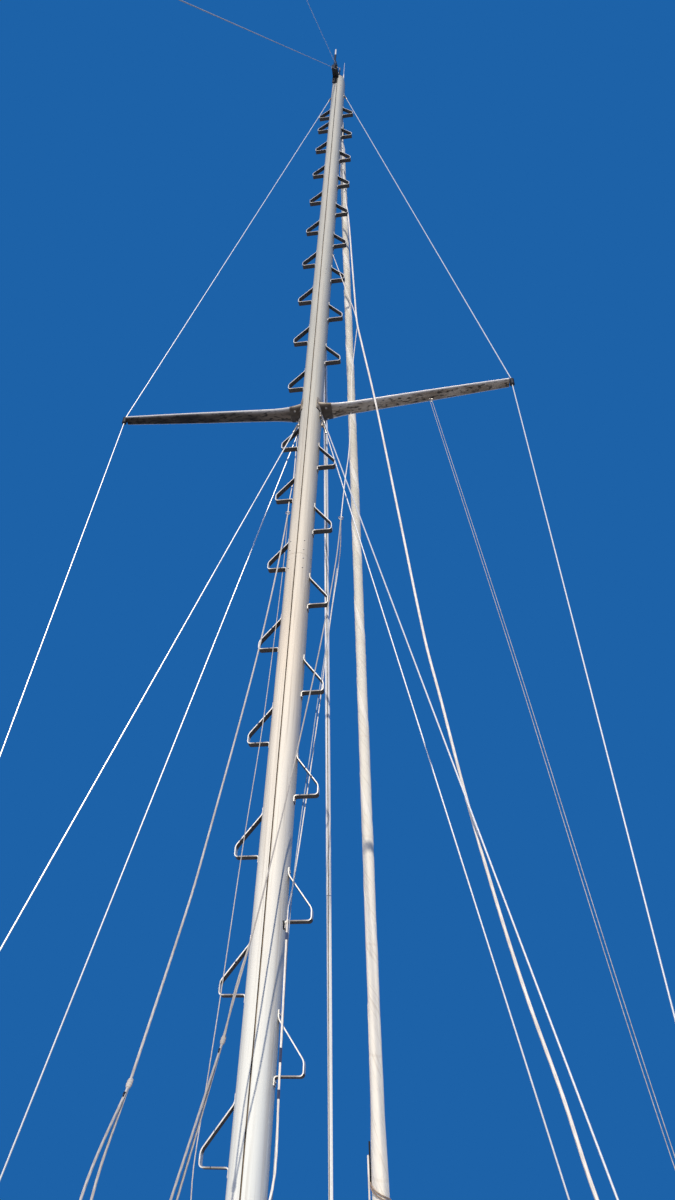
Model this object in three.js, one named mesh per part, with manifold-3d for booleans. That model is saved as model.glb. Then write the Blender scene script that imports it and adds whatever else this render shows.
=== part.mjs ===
// Mast and standing rigging of a cruising sailing yacht about 11.5 m long.
// Millimetres. Origin at the middle of the mast foot, on the deck.
// +X forward, +Y to port, +Z up.

import * as THREE from "three";
import { mergeVertices } from "three/addons/utils/BufferGeometryUtils.js";
import Module from "manifold-3d";

const wasm = await Module();
wasm.setup();

// Mast section, an oval tube drawn solid, and its heights above the deck
const MAST_CHORD = 200;
const MAST_WIDTH = 142;
const OVAL_POWER = 2.6;
const OVAL_POINTS = 36;
const HEEL_TOP = 60;
const SPLICE_HEIGHT = 4148;
const MAST_TOP = 12010;
const SEAT = 0.3;
const SIDE = MAST_WIDTH / 2 + SEAT;
const FACE = MAST_CHORD / 2 + SEAT;

// Heel casting
const HEEL_LENGTH = 250;
const HEEL_BREADTH = 190;
const HEEL_PLATE = 12;
const HEEL_SOCKET_SCALE = 1.1;

// Mast steps, bent from flat strap and riveted to the mast's sides
const STEP_PITCH = 600;
const STEP_COUNT = 17;
const PORT_STEP_FIRST = 1115;
const STARBOARD_STEP_FIRST = 1415;
const TOP_STEP_HEIGHT = 11000;
const STEP_OUT = 114;
const STEP_RISE = 205;
const STEP_LIP = 50;
const STEP_TAB = 34;
const STEP_DEPTH = 38;
const STEP_STRAP = 4.5;

// Spreaders, one pair, swept up a little towards their tips
const SPREADER_ROOT_Y = 150;
const SPREADER_ROOT_Z = 5622;
const SPREADER_TIP_Y = 1419;
const SPREADER_TIP_Z = 5747;
const SPREADER_POINTS = 20;
// Blade: share of the span, chord, thickness
const SPREADER_STATIONS = [
  [0, 132, 42],
  [0.04, 118, 41],
  [0.1, 107, 40],
  [0.25, 103, 37],
  [0.5, 98, 34],
  [0.75, 88, 30],
  [1, 74, 26],
];
const BRACKET = { chord: 146, height: 62 };
const BRACKET_PLATE = { chord: 166, height: 118, thick: 8 };
const TIP_RADIUS = 17;
const TIP_HEIGHT = 64;
const TIP_CLEAR = { above: 2, below: 1 };

// Wire rigging
const WIRE_RADIUS = 4;
const SWAGE_RADIUS = 8;
const SWAGE_LENGTH = 110;
const SCREW_RADIUS = 12.5;
const SCREW_LENGTH = 260;
const TOGGLE_RADIUS = 11;
const TOGGLE_LENGTH = 60;
const TANG_THICK = 6;
const TANG_WIDTH = 30;
const TANG_BELOW = 30;
const LUG_THICK = 8;
const LUG_WIDTH = 52;
const LUG_HEIGHT = 78;
const LUG_PIN_HEIGHT = 58;
const BASE_LENGTH = 110;
const BASE_BREADTH = 60;
const BASE_THICK = 8;
const ROUND_SIDES = 12;

// Ends of the wires, starboard ones mirrored
const CAP_TANG = { x: 0, y: 82, z: 11606, height: 110 };
const CAP_FOOT = { x: 84, y: 1713 };
const LOWER_TANG = { x: 40, y: 81, z: 5530, height: 58 };
const LOWER_TANG_DROPS = { aft_port: 80 };
const FORE_LOWER_FOOT = { x: 486, y: 1421 };
const AFT_LOWER_FOOT = { x: -452, y: 1506 };
const BACKSTAY_TOP = { x: -232, z: 11950 };
const BACKSTAY_FOOT_X = -6500;
const HEADSTAY_TOP = { x: 150, z: 11937 };
const HEADSTAY_FOOT_X = 5328;
const INNER_TOP = { x: 112, z: 7465, height: 110 };
const INNER_FOOT_X = 2375;

// Masthead crane, light and aerial
const CAP_PLATE = 12;
const CRANE = { aft: 215, port: 54, starboard: 12, low: 11930 };
const SHEAVE_BOX = { port: 58, starboard: -4, low: 11767, thick: 12 };
const STEM_PLATE = { thick: 8, breadth: 50, low: 11850 };
const STEM_LUG = { reach: 75, breadth: 16, height: 64 };
const STERN_LUG = { reach: 34, breadth: 16, height: 60 };
const STAY_END_CLEAR = 4;
const JOIN_DEPTH = 5;
const LIGHT = { x: -160, y: 36, stalk: 12, lens: 14, stalkTop: 12505, top: 12722 };
const WHIP = { x: 10, y: -48, base: 9, rod: 3, baseTop: 12360, top: 12755 };

// Roller-furling headsail, as distances along its stay from the deck
const FOIL_RADIUS = 15;
const DRUM = { low: 250, high: 460, flange: 92, flangeThick: 12, waist: 58 };
const DRUM_HUB = { length: 20, radius: 30 };
const DRUM_NECK = { length: 60, radius: 24 };
const SWIVEL = { low: 12450, high: 12660, radius: 34 };
const FOIL_TOP = 12860;
const LINK_BARE = 90;
const SAIL_BORE = 15.6;
const SAIL_SIDES = 24;
const END_GAP = 0.4;
// Rolled sail: distance along the stay, outer radius
const SAIL_ROLL = [
  [500, 62],
  [620, 76],
  [1650, 77],
  [2140, 62],
  [2915, 56],
  [4900, 54],
  [8560, 46],
  [11650, 41],
  [12300, 36],
  [12395, 24],
];

// Inner stay: a bare luff foil on a wire, as distances along the stay from the deck
const INNER_FOIL = { low: 640, high: 7560, radius: 15 };

// Gooseneck and boom
const BOOM_HEIGHT = 720;
const PIN_X = -165;
const PIN_RADIUS = 12;
const JAW = { half: 38, thick: 16, length: 78, breadth: 48 };
const JAW_PLATE = { thick: 12, breadth: 60, height: 210 };
const BOOM_WEB = { breadth: 18, height: 60 };
const BOOM_NOSE_X = -245;
const BOOM_END_X = -4085;
const BOOM_BREADTH = 96;
const BOOM_DEPTH = 138;
const BOOM_CAP = { length: 35, grow: 6 };
const BOOM_LUG = { reach: 50, breadth: 12, height: 60 };

const UP = new THREE.Vector3(0, 1, 0);

const finish = (color, roughness, metalness) =>
  new THREE.MeshStandardMaterial({ color, roughness, metalness });

const MATERIALS = {
  cream: finish(0xe9e4d6, 0.55, 0.1),
  alloy: finish(0xc9ccce, 0.4, 0.8),
  steel: finish(0xd5d8da, 0.25, 1),
  black: finish(0x1a1b1d, 0.5, 0.2),
  white: finish(0xf2f2ee, 0.4, 0),
  sail: finish(0xe6dfcc, 0.9, 0),
};

// Closed three.js geometry as a solid that can be joined and cut
function toSolid(geometry) {
  const bare = geometry.clone();
  bare.deleteAttribute("normal");
  bare.deleteAttribute("uv");
  const merged = mergeVertices(bare, 1e-3);
  const vertProperties = new Float32Array(merged.attributes.position.array);
  const triVerts = new Uint32Array(merged.index.array);
  return new wasm.Manifold(new wasm.Mesh({ numProp: 3, vertProperties, triVerts }));
}

function toGeometry(solid) {
  const mesh = solid.getMesh();
  const geometry = new THREE.BufferGeometry();
  geometry.setAttribute("position", new THREE.BufferAttribute(mesh.vertProperties, 3));
  geometry.setIndex(new THREE.BufferAttribute(mesh.triVerts, 1));
  geometry.computeVertexNormals();
  return geometry;
}

function join(...geometries) {
  return toGeometry(geometries.map(toSolid).reduce((whole, piece) => whole.add(piece)));
}

function cut(geometry, tool) {
  return toGeometry(toSolid(geometry).subtract(toSolid(tool)));
}

// Box between two corners
function block(low, high) {
  const size = high.map((value, axis) => value - low[axis]);
  const middle = high.map((value, axis) => (value + low[axis]) / 2);
  return new THREE.BoxGeometry(...size).translate(...middle);
}

// Oval between an ellipse and a rectangle, the section of masts and booms
function oval(length, breadth, power, count) {
  const points = [];
  for (let i = 0; i < count; i += 1) {
    const angle = (i / count) * 2 * Math.PI;
    const c = Math.cos(angle);
    const s = Math.sin(angle);
    const x = (length / 2) * Math.sign(c) * Math.abs(c) ** (2 / power);
    const y = (breadth / 2) * Math.sign(s) * Math.abs(s) ** (2 / power);
    points.push(new THREE.Vector2(x, y));
  }
  return new THREE.Shape(points);
}

// How far out the mast's side lies at a distance before or behind its middle
function mastSideAt(x) {
  return SEAT + (MAST_WIDTH / 2) * (1 - (x / (MAST_CHORD / 2)) ** OVAL_POWER) ** (1 / OVAL_POWER);
}

function mastLength(low, high, grow = 0) {
  const shape = oval(MAST_CHORD + 2 * grow, MAST_WIDTH + 2 * grow, OVAL_POWER, OVAL_POINTS);
  const tube = new THREE.ExtrudeGeometry(shape, { depth: high - low, bevelEnabled: false });
  return tube.translate(0, 0, low);
}

// Turned piece: rows of [distance along the axis, radius], closed on the axis
function turned(rows, sides = ROUND_SIDES) {
  const first = rows[0][0];
  const last = rows[rows.length - 1][0];
  const points = [new THREE.Vector2(0, first)];
  for (const [along, radius] of rows) {
    points.push(new THREE.Vector2(radius, along));
  }
  points.push(new THREE.Vector2(0, last));
  return new THREE.LatheGeometry(points, sides);
}

// Turns a piece made along +Y so that it runs from one point towards another
function aim(geometry, from, to) {
  const direction = new THREE.Vector3().subVectors(to, from).normalize();
  const turn = new THREE.Quaternion().setFromUnitVectors(UP, direction);
  return geometry.applyQuaternion(turn).translate(from.x, from.y, from.z);
}

const group = new THREE.Group();

function add(name, geometry, material) {
  const mesh = new THREE.Mesh(geometry, material);
  mesh.name = name;
  group.add(mesh);
  return mesh;
}

// Deck fitting under a wire: a base and a lug turned towards the mast
function chainplate(x, y) {
  const lug = block([-LUG_WIDTH / 2, -LUG_THICK / 2, 0], [LUG_WIDTH / 2, LUG_THICK / 2, LUG_HEIGHT]);
  const base = block(
    [-BASE_LENGTH / 2, -BASE_BREADTH / 2, 0],
    [BASE_LENGTH / 2, BASE_BREADTH / 2, BASE_THICK],
  );
  const fitting = join(lug, base);
  return fitting.rotateZ(Math.atan2(-y, -x)).translate(x, y, 0);
}

// Wire with a swaged end above and, at the deck, a swage, a rigging screw and a toggle
function wire(top, foot, lowFitting = true) {
  const length = top.distanceTo(foot);
  const rows = [];
  if (lowFitting) {
    const screwLow = TOGGLE_LENGTH;
    const screwHigh = screwLow + SCREW_LENGTH;
    const swageHigh = screwHigh + SWAGE_LENGTH;
    rows.push([0, TOGGLE_RADIUS], [screwLow, TOGGLE_RADIUS]);
    rows.push([screwLow, SCREW_RADIUS], [screwHigh, SCREW_RADIUS]);
    rows.push([screwHigh, SWAGE_RADIUS], [swageHigh, SWAGE_RADIUS]);
    rows.push([swageHigh, WIRE_RADIUS]);
  } else {
    rows.push([0, WIRE_RADIUS]);
  }
  rows.push([length - SWAGE_LENGTH, WIRE_RADIUS]);
  rows.push([length - SWAGE_LENGTH, SWAGE_RADIUS], [length, SWAGE_RADIUS]);
  return aim(turned(rows), foot, top);
}

function addMast() {
  const socket = oval(
    MAST_CHORD * HEEL_SOCKET_SCALE, MAST_WIDTH * HEEL_SOCKET_SCALE, OVAL_POWER, OVAL_POINTS,
  );
  const collar = new THREE.ExtrudeGeometry(socket, { depth: HEEL_TOP, bevelEnabled: false });
  const plate = block(
    [-HEEL_LENGTH / 2, -HEEL_BREADTH / 2, 0],
    [HEEL_LENGTH / 2, HEEL_BREADTH / 2, HEEL_PLATE],
  );
  add("mast_heel", join(plate, collar), MATERIALS.alloy);
  add("mast_lower", mastLength(HEEL_TOP + SEAT, SPLICE_HEIGHT), MATERIALS.cream);
  add("mast_upper", mastLength(SPLICE_HEIGHT + SEAT, MAST_TOP), MATERIALS.cream);
}

function addMasthead() {
  const plateLow = MAST_TOP + SEAT;
  const plateHigh = plateLow + CAP_PLATE;
  const cap = mastLength(plateLow, plateHigh);
  const arm = block([-CRANE.aft, -CRANE.starboard, CRANE.low], [-FACE, CRANE.port, plateHigh]);
  const sheaves = block(
    [-FACE - SHEAVE_BOX.thick, -SHEAVE_BOX.starboard, SHEAVE_BOX.low],
    [-FACE, SHEAVE_BOX.port, CRANE.low + JOIN_DEPTH],
  );
  const bridge = block(
    [-FACE - JOIN_DEPTH, -CRANE.starboard, plateLow],
    [FACE + STEM_PLATE.thick, CRANE.starboard, plateHigh],
  );
  const stem = block(
    [FACE, -STEM_PLATE.breadth / 2, STEM_PLATE.low],
    [FACE + STEM_PLATE.thick, STEM_PLATE.breadth / 2, plateHigh],
  );
  const lug = block(
    [FACE, -STEM_LUG.breadth / 2, HEADSTAY_TOP.z],
    [FACE + STEM_LUG.reach, STEM_LUG.breadth / 2, HEADSTAY_TOP.z + STEM_LUG.height],
  );
  const sternLug = block(
    [-CRANE.aft - STERN_LUG.reach, -STERN_LUG.breadth / 2, BACKSTAY_TOP.z],
    [-CRANE.aft + JOIN_DEPTH, STERN_LUG.breadth / 2, BACKSTAY_TOP.z + STERN_LUG.height],
  );
  const casting = join(cap, arm, sheaves, bridge, stem, lug, sternLug);
  add("masthead_crane", casting, MATERIALS.black);

  const standLow = plateHigh + SEAT;
  const light = turned([
    [standLow, LIGHT.stalk], [LIGHT.stalkTop, LIGHT.stalk],
    [LIGHT.stalkTop, LIGHT.lens], [LIGHT.top, LIGHT.lens],
  ]);
  add("masthead_light", light.rotateX(Math.PI / 2).translate(LIGHT.x, LIGHT.y, 0), MATERIALS.white);
  const whip = turned([
    [standLow, WHIP.base], [WHIP.baseTop, WHIP.base],
    [WHIP.baseTop, WHIP.rod], [WHIP.top, WHIP.rod],
  ]);
  add("aerial_whip", whip.rotateX(Math.PI / 2).translate(WHIP.x, WHIP.y, 0), MATERIALS.white);
}

// Inner face of one step's strap as [out from the mast, up from the tread]
const STEP_LINE = [
  [0, STEP_RISE + STEP_TAB],
  [0, STEP_RISE],
  [STEP_OUT, STEP_LIP],
  [STEP_OUT, 0],
  [0, 0],
  [0, -STEP_TAB],
];

// Outline of a bent strap with its inner face on the line and its outer face one thickness out
function strapOutline(line, thickness) {
  const points = line.map(([out, up]) => new THREE.Vector2(out, up));
  const outer = points.map((point, i) => {
    const before = points[Math.max(i - 1, 0)];
    const after = points[Math.min(i + 1, points.length - 1)];
    const a = new THREE.Vector2().subVectors(point, before).normalize();
    const b = new THREE.Vector2().subVectors(after, point).normalize();
    const from = i === 0 ? b : a;
    const to = i === points.length - 1 ? a : b;
    const n1 = new THREE.Vector2(-from.y, from.x);
    const n2 = new THREE.Vector2(-to.y, to.x);
    const mid = n1.clone().add(n2).normalize();
    return point.clone().addScaledVector(mid, thickness / mid.dot(n1));
  });
  return [...points, ...outer.reverse()];
}

// Side is +1 to port and -1 to starboard
function step(side, height) {
  const outline = strapOutline(STEP_LINE, STEP_STRAP);
  const shape = new THREE.Shape(outline.map((p) => new THREE.Vector2(side * p.x, p.y)));
  const strap = new THREE.ExtrudeGeometry(shape, { depth: STEP_DEPTH, bevelEnabled: false });
  strap.translate(0, 0, -STEP_DEPTH / 2);
  const axes = new THREE.Matrix4().makeBasis(
    new THREE.Vector3(0, 1, 0), new THREE.Vector3(0, 0, 1), new THREE.Vector3(1, 0, 0),
  );
  return strap.applyMatrix4(axes).translate(0, side * SIDE, height);
}

// Heights of one side's treads, before the top one, which both sides share
function treadHeights(first) {
  return Array.from({ length: STEP_COUNT }, (unused, n) => first + n * STEP_PITCH);
}

// One port step is set low, below the shroud tangs, and another below the top pair
const PORT_STEP_SHIFTS = { 7: -80, 16: -75 };
// The starboard spreader bracket takes the place of one step
const STARBOARD_STEP_LEFT_OUT = 7;

function addSteps() {
  const port = treadHeights(PORT_STEP_FIRST).map((z, n) => z + (PORT_STEP_SHIFTS[n] ?? 0));
  port.push(TOP_STEP_HEIGHT);
  const starboard = treadHeights(STARBOARD_STEP_FIRST);
  starboard[STEP_COUNT - 1] = TOP_STEP_HEIGHT;
  starboard.splice(STARBOARD_STEP_LEFT_OUT, 1);
  for (const [word, side, heights] of [["port", 1, port], ["starboard", -1, starboard]]) {
    heights.forEach((height, n) => {
      const number = String(n + 1).padStart(2, "0");
      add(`step_${word}_${number}`, step(side, height), MATERIALS.alloy);
    });
  }
}

// Made on the starboard side and turned half round for the port side
function addSpreader(word, side) {
  const span = SPREADER_TIP_Y - SPREADER_ROOT_Y;
  const slope = (SPREADER_TIP_Z - SPREADER_ROOT_Z) / span;
  const turn = side > 0 ? Math.PI : 0;
  const inner = -MAST_WIDTH / 4;
  const box = block(
    [-BRACKET.chord / 2, -SPREADER_ROOT_Y, SPREADER_ROOT_Z - BRACKET.height / 2],
    [BRACKET.chord / 2, inner, SPREADER_ROOT_Z + BRACKET.height / 2],
  );
  const plate = block(
    [-BRACKET_PLATE.chord / 2, -SIDE - BRACKET_PLATE.thick, SPREADER_ROOT_Z - BRACKET_PLATE.height / 2],
    [BRACKET_PLATE.chord / 2, inner, SPREADER_ROOT_Z + BRACKET_PLATE.height / 2],
  );
  const core = mastLength(
    SPREADER_ROOT_Z - BRACKET_PLATE.height, SPREADER_ROOT_Z + BRACKET_PLATE.height, SEAT,
  );
  const bracket = cut(join(box, plate), core).rotateZ(turn);
  add(`spreader_root_${word}`, bracket, MATERIALS.alloy);

  const [, rootChord, rootThick] = SPREADER_STATIONS[0];
  const section = oval(rootChord, rootThick, 2, SPREADER_POINTS);
  const length = span - SEAT;
  const steps = SPREADER_STATIONS.length - 1;
  const blade = new THREE.ExtrudeGeometry(section, { depth: length, steps, bevelEnabled: false });
  const places = blade.attributes.position;
  for (let i = 0; i < places.count; i += 1) {
    const station = Math.round((places.getZ(i) / length) * steps);
    const [share, chord, thick] = SPREADER_STATIONS[station];
    const out = share * length;
    const x = places.getX(i) * (chord / rootChord);
    const y = places.getY(i) * (thick / rootThick) + slope * out;
    places.setXYZ(i, x, y, out);
  }
  blade.rotateX(Math.PI / 2).translate(0, -SPREADER_ROOT_Y - SEAT, SPREADER_ROOT_Z);
  const tip = new THREE.CylinderGeometry(TIP_RADIUS, TIP_RADIUS, TIP_HEIGHT, ROUND_SIDES);
  tip.rotateX(Math.PI / 2).translate(0, -SPREADER_TIP_Y, SPREADER_TIP_Z);
  add(`spreader_${word}`, join(blade, tip).rotateZ(turn), MATERIALS.alloy);
}

function addShrouds(word, side) {
  const tipHigh = SPREADER_TIP_Z + TIP_HEIGHT / 2 + TIP_CLEAR.above;
  const tipUnder = SPREADER_TIP_Z - TIP_HEIGHT / 2 - TIP_CLEAR.below;
  const tipTop = new THREE.Vector3(0, side * SPREADER_TIP_Y, tipHigh);
  const tipLow = new THREE.Vector3(0, side * SPREADER_TIP_Y, tipUnder);
  const capTop = new THREE.Vector3(CAP_TANG.x, side * CAP_TANG.y, CAP_TANG.z);
  const capFoot = new THREE.Vector3(CAP_FOOT.x, side * CAP_FOOT.y, LUG_PIN_HEIGHT);
  const capPlate = tang(CAP_TANG, side);
  add(`cap_shroud_upper_${word}`, join(wire(capTop, tipTop, false), capPlate), MATERIALS.steel);
  const lower = join(wire(tipLow, capFoot), chainplate(CAP_FOOT.x, side * CAP_FOOT.y));
  add(`cap_shroud_lower_${word}`, lower, MATERIALS.steel);
  for (const [name, foot, sense] of [["fore", FORE_LOWER_FOOT, 1], ["aft", AFT_LOWER_FOOT, -1]]) {
    const z = LOWER_TANG.z - (LOWER_TANG_DROPS[`${name}_${word}`] ?? 0);
    const x = sense * LOWER_TANG.x;
    const top = new THREE.Vector3(x, side * LOWER_TANG.y, z);
    const pin = new THREE.Vector3(foot.x, side * foot.y, LUG_PIN_HEIGHT);
    const plate = tang({ ...LOWER_TANG, x, z }, side);
    const shroud = join(wire(top, pin), plate, chainplate(foot.x, side * foot.y));
    add(`${name}_lower_${word}`, shroud, MATERIALS.steel);
  }
}

// Plate riveted to the mast's side above a wire's end
function tang(place, side) {
  const inner = mastSideAt(Math.max(Math.abs(place.x) - TANG_WIDTH / 2, 0));
  const lowY = side > 0 ? inner : -inner - TANG_THICK;
  const lowZ = place.z - TANG_BELOW;
  return block(
    [place.x - TANG_WIDTH / 2, lowY, lowZ],
    [place.x + TANG_WIDTH / 2, lowY + TANG_THICK, lowZ + place.height],
  );
}

function addBackstay() {
  const top = new THREE.Vector3(BACKSTAY_TOP.x, 0, BACKSTAY_TOP.z - STAY_END_CLEAR);
  const foot = new THREE.Vector3(BACKSTAY_FOOT_X, 0, LUG_PIN_HEIGHT);
  add("backstay", join(wire(top, foot), chainplate(BACKSTAY_FOOT_X, 0)), MATERIALS.steel);
}

function addHeadstay() {
  const deckPoint = new THREE.Vector3(HEADSTAY_FOOT_X, 0, 0);
  const topPoint = new THREE.Vector3(HEADSTAY_TOP.x, 0, HEADSTAY_TOP.z);
  const length = deckPoint.distanceTo(topPoint);
  const link = turned([
    [FOIL_TOP + END_GAP, WIRE_RADIUS], [FOIL_TOP + LINK_BARE, WIRE_RADIUS],
    [FOIL_TOP + LINK_BARE, SWAGE_RADIUS], [length - STAY_END_CLEAR, SWAGE_RADIUS],
  ]);
  add("headstay_link", aim(link, deckPoint, topPoint), MATERIALS.steel);

  const flangeLow = DRUM.low + DRUM_HUB.length;
  const flangeHigh = DRUM.high - DRUM_NECK.length;
  const foil = turned([
    [DRUM.low, DRUM_HUB.radius], [flangeLow, DRUM_HUB.radius],
    [flangeLow, DRUM.flange], [flangeLow + DRUM.flangeThick, DRUM.flange],
    [flangeLow + DRUM.flangeThick, DRUM.waist], [flangeHigh - DRUM.flangeThick, DRUM.waist],
    [flangeHigh - DRUM.flangeThick, DRUM.flange], [flangeHigh, DRUM.flange],
    [flangeHigh, DRUM_NECK.radius], [DRUM.high, DRUM_NECK.radius],
    [DRUM.high, FOIL_RADIUS], [SWIVEL.low, FOIL_RADIUS],
    [SWIVEL.low, SWIVEL.radius], [SWIVEL.high, SWIVEL.radius],
    [SWIVEL.high, FOIL_RADIUS], [FOIL_TOP, FOIL_RADIUS],
  ], SAIL_SIDES);
  add("headsail_foil", aim(foil, deckPoint, topPoint), MATERIALS.alloy);

  const sailRows = SAIL_ROLL.map(([distance, radius]) => new THREE.Vector2(radius, distance));
  const first = SAIL_ROLL[0][0];
  const last = SAIL_ROLL[SAIL_ROLL.length - 1][0];
  const profile = [new THREE.Vector2(SAIL_BORE, first), ...sailRows];
  profile.push(new THREE.Vector2(SAIL_BORE, last), new THREE.Vector2(SAIL_BORE, first));
  const roll = new THREE.LatheGeometry(profile, SAIL_SIDES);
  add("headsail_furled", aim(roll, deckPoint, topPoint), MATERIALS.sail);

  const tack = turned([
    [LUG_PIN_HEIGHT, TOGGLE_RADIUS], [LUG_PIN_HEIGHT + TOGGLE_LENGTH, TOGGLE_RADIUS],
    [LUG_PIN_HEIGHT + TOGGLE_LENGTH, SCREW_RADIUS], [DRUM.low - END_GAP, SCREW_RADIUS],
  ]);
  const plate = chainplate(HEADSTAY_FOOT_X, 0);
  add("headstay_tack", join(aim(tack, deckPoint, topPoint), plate), MATERIALS.steel);
}

function addInnerStay() {
  const deckPoint = new THREE.Vector3(INNER_FOOT_X, 0, 0);
  const topPoint = new THREE.Vector3(INNER_TOP.x, 0, INNER_TOP.z);
  const length = deckPoint.distanceTo(topPoint);
  const screwLow = LUG_PIN_HEIGHT + TOGGLE_LENGTH;
  const screwHigh = screwLow + SCREW_LENGTH;
  const stay = turned([
    [LUG_PIN_HEIGHT, TOGGLE_RADIUS], [screwLow, TOGGLE_RADIUS],
    [screwLow, SCREW_RADIUS], [screwHigh, SCREW_RADIUS],
    [screwHigh, SWAGE_RADIUS], [screwHigh + SWAGE_LENGTH, SWAGE_RADIUS],
    [screwHigh + SWAGE_LENGTH, WIRE_RADIUS], [INNER_FOIL.low, WIRE_RADIUS],
    [INNER_FOIL.low, INNER_FOIL.radius], [INNER_FOIL.high, INNER_FOIL.radius],
    [INNER_FOIL.high, WIRE_RADIUS], [length - SWAGE_LENGTH, WIRE_RADIUS],
    [length - SWAGE_LENGTH, SWAGE_RADIUS], [length, SWAGE_RADIUS],
  ]);
  const plate = block(
    [FACE, -TANG_WIDTH / 2, INNER_TOP.z - TANG_BELOW],
    [FACE + TANG_THICK, TANG_WIDTH / 2, INNER_TOP.z - TANG_BELOW + INNER_TOP.height],
  );
  const whole = join(aim(stay, deckPoint, topPoint), plate, chainplate(INNER_FOOT_X, 0));
  add("inner_stay", whole, MATERIALS.steel);
}

function addBoom() {
  const jawBlock = (low) => block(
    [-FACE - JAW.length - JAW_PLATE.thick, -JAW.breadth / 2, low],
    [-FACE, JAW.breadth / 2, low + JAW.thick],
  );
  const back = block(
    [-FACE - JAW_PLATE.thick, -JAW_PLATE.breadth / 2, BOOM_HEIGHT - JAW_PLATE.height / 2],
    [-FACE, JAW_PLATE.breadth / 2, BOOM_HEIGHT + JAW_PLATE.height / 2],
  );
  const jaws = [BOOM_HEIGHT - JAW.half - JAW.thick, BOOM_HEIGHT + JAW.half].map(jawBlock);
  add("gooseneck", join(back, ...jaws), MATERIALS.steel);

  const pinHalf = JAW.half - END_GAP;
  const pin = new THREE.CylinderGeometry(PIN_RADIUS, PIN_RADIUS, 2 * pinHalf, ROUND_SIDES);
  pin.rotateX(Math.PI / 2).translate(PIN_X, 0, BOOM_HEIGHT);
  const web = block(
    [BOOM_NOSE_X - JOIN_DEPTH, -BOOM_WEB.breadth / 2, BOOM_HEIGHT - BOOM_WEB.height / 2],
    [PIN_X, BOOM_WEB.breadth / 2, BOOM_HEIGHT + BOOM_WEB.height / 2],
  );
  // The boom's section stands in the upright plane across it
  const spar = (nose, end, grow) => {
    const section = oval(BOOM_DEPTH + grow, BOOM_BREADTH + grow, OVAL_POWER, OVAL_POINTS);
    const tube = new THREE.ExtrudeGeometry(section, { depth: nose - end, bevelEnabled: false });
    return tube.rotateY(-Math.PI / 2).translate(nose, 0, BOOM_HEIGHT);
  };
  const lug = block(
    [BOOM_END_X - BOOM_LUG.reach, -BOOM_LUG.breadth / 2, BOOM_HEIGHT - BOOM_LUG.height / 2],
    [BOOM_END_X + JOIN_DEPTH, BOOM_LUG.breadth / 2, BOOM_HEIGHT + BOOM_LUG.height / 2],
  );
  const whole = join(
    pin, web, spar(BOOM_NOSE_X, BOOM_END_X, 0), lug,
    spar(BOOM_NOSE_X, BOOM_NOSE_X - BOOM_CAP.length, BOOM_CAP.grow),
    spar(BOOM_END_X + BOOM_CAP.length, BOOM_END_X, BOOM_CAP.grow),
  );
  add("boom", whole, MATERIALS.cream);
}

addMast();
addMasthead();
addSteps();
for (const [word, side] of [["port", 1], ["starboard", -1]]) {
  addSpreader(word, side);
  addShrouds(word, side);
}
addBackstay();
addHeadstay();
addInnerStay();
addBoom();

export default group;
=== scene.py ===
# %% [markdown]
# # The mast of a cruising yacht
#
# This lesson dresses a yacht's mast and rigging: an oval alloy mast with strap steps, a pair of spreaders,
# wire shrouds and stays, a rolled headsail, a boom and the running rigging. The solids are loaded first as
# a fixed frame, and everything made here goes round them, in metres, with +X forward, +Y to port and +Z
# up. The origin is the middle of the mast foot, on the deck.

# %% Load the frame
import math

import bmesh
import bpy
from mathutils import Matrix, Vector, noise
from mathutils.geometry import interpolate_bezier
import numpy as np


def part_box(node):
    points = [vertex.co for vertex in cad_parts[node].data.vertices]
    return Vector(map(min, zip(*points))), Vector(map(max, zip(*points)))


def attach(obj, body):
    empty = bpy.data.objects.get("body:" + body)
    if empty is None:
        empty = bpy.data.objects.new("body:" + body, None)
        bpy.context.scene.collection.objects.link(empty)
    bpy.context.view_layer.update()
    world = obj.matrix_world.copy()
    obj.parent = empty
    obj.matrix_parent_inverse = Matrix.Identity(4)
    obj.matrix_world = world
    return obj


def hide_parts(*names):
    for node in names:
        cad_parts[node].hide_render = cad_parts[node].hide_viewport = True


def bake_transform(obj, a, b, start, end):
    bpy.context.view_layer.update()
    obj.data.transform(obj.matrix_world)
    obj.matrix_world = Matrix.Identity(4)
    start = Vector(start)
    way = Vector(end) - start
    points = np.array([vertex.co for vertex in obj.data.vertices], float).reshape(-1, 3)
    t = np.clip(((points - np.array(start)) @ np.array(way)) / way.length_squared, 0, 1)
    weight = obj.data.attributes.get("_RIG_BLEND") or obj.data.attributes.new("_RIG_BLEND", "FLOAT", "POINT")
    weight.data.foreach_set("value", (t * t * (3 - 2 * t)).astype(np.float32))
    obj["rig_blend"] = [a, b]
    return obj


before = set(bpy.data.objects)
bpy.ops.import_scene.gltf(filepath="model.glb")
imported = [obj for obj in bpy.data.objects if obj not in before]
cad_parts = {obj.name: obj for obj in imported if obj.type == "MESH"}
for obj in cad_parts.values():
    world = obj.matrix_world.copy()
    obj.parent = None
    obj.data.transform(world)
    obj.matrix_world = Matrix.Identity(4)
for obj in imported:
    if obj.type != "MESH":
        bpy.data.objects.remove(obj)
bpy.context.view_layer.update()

# %% [markdown]
# ## The camera
#
# The photograph looks up from the cockpit, a little to starboard of the boom. A camera like that is given
# by its place, three angles and a focal length. Angles could be set by eye, but a rig has so many straight
# lines that the eye finds every error, so they were solved from the rig's own measures. The axes are built
# from the angles with cross products, which keeps pitch, yaw and roll apart and easy to change.

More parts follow.
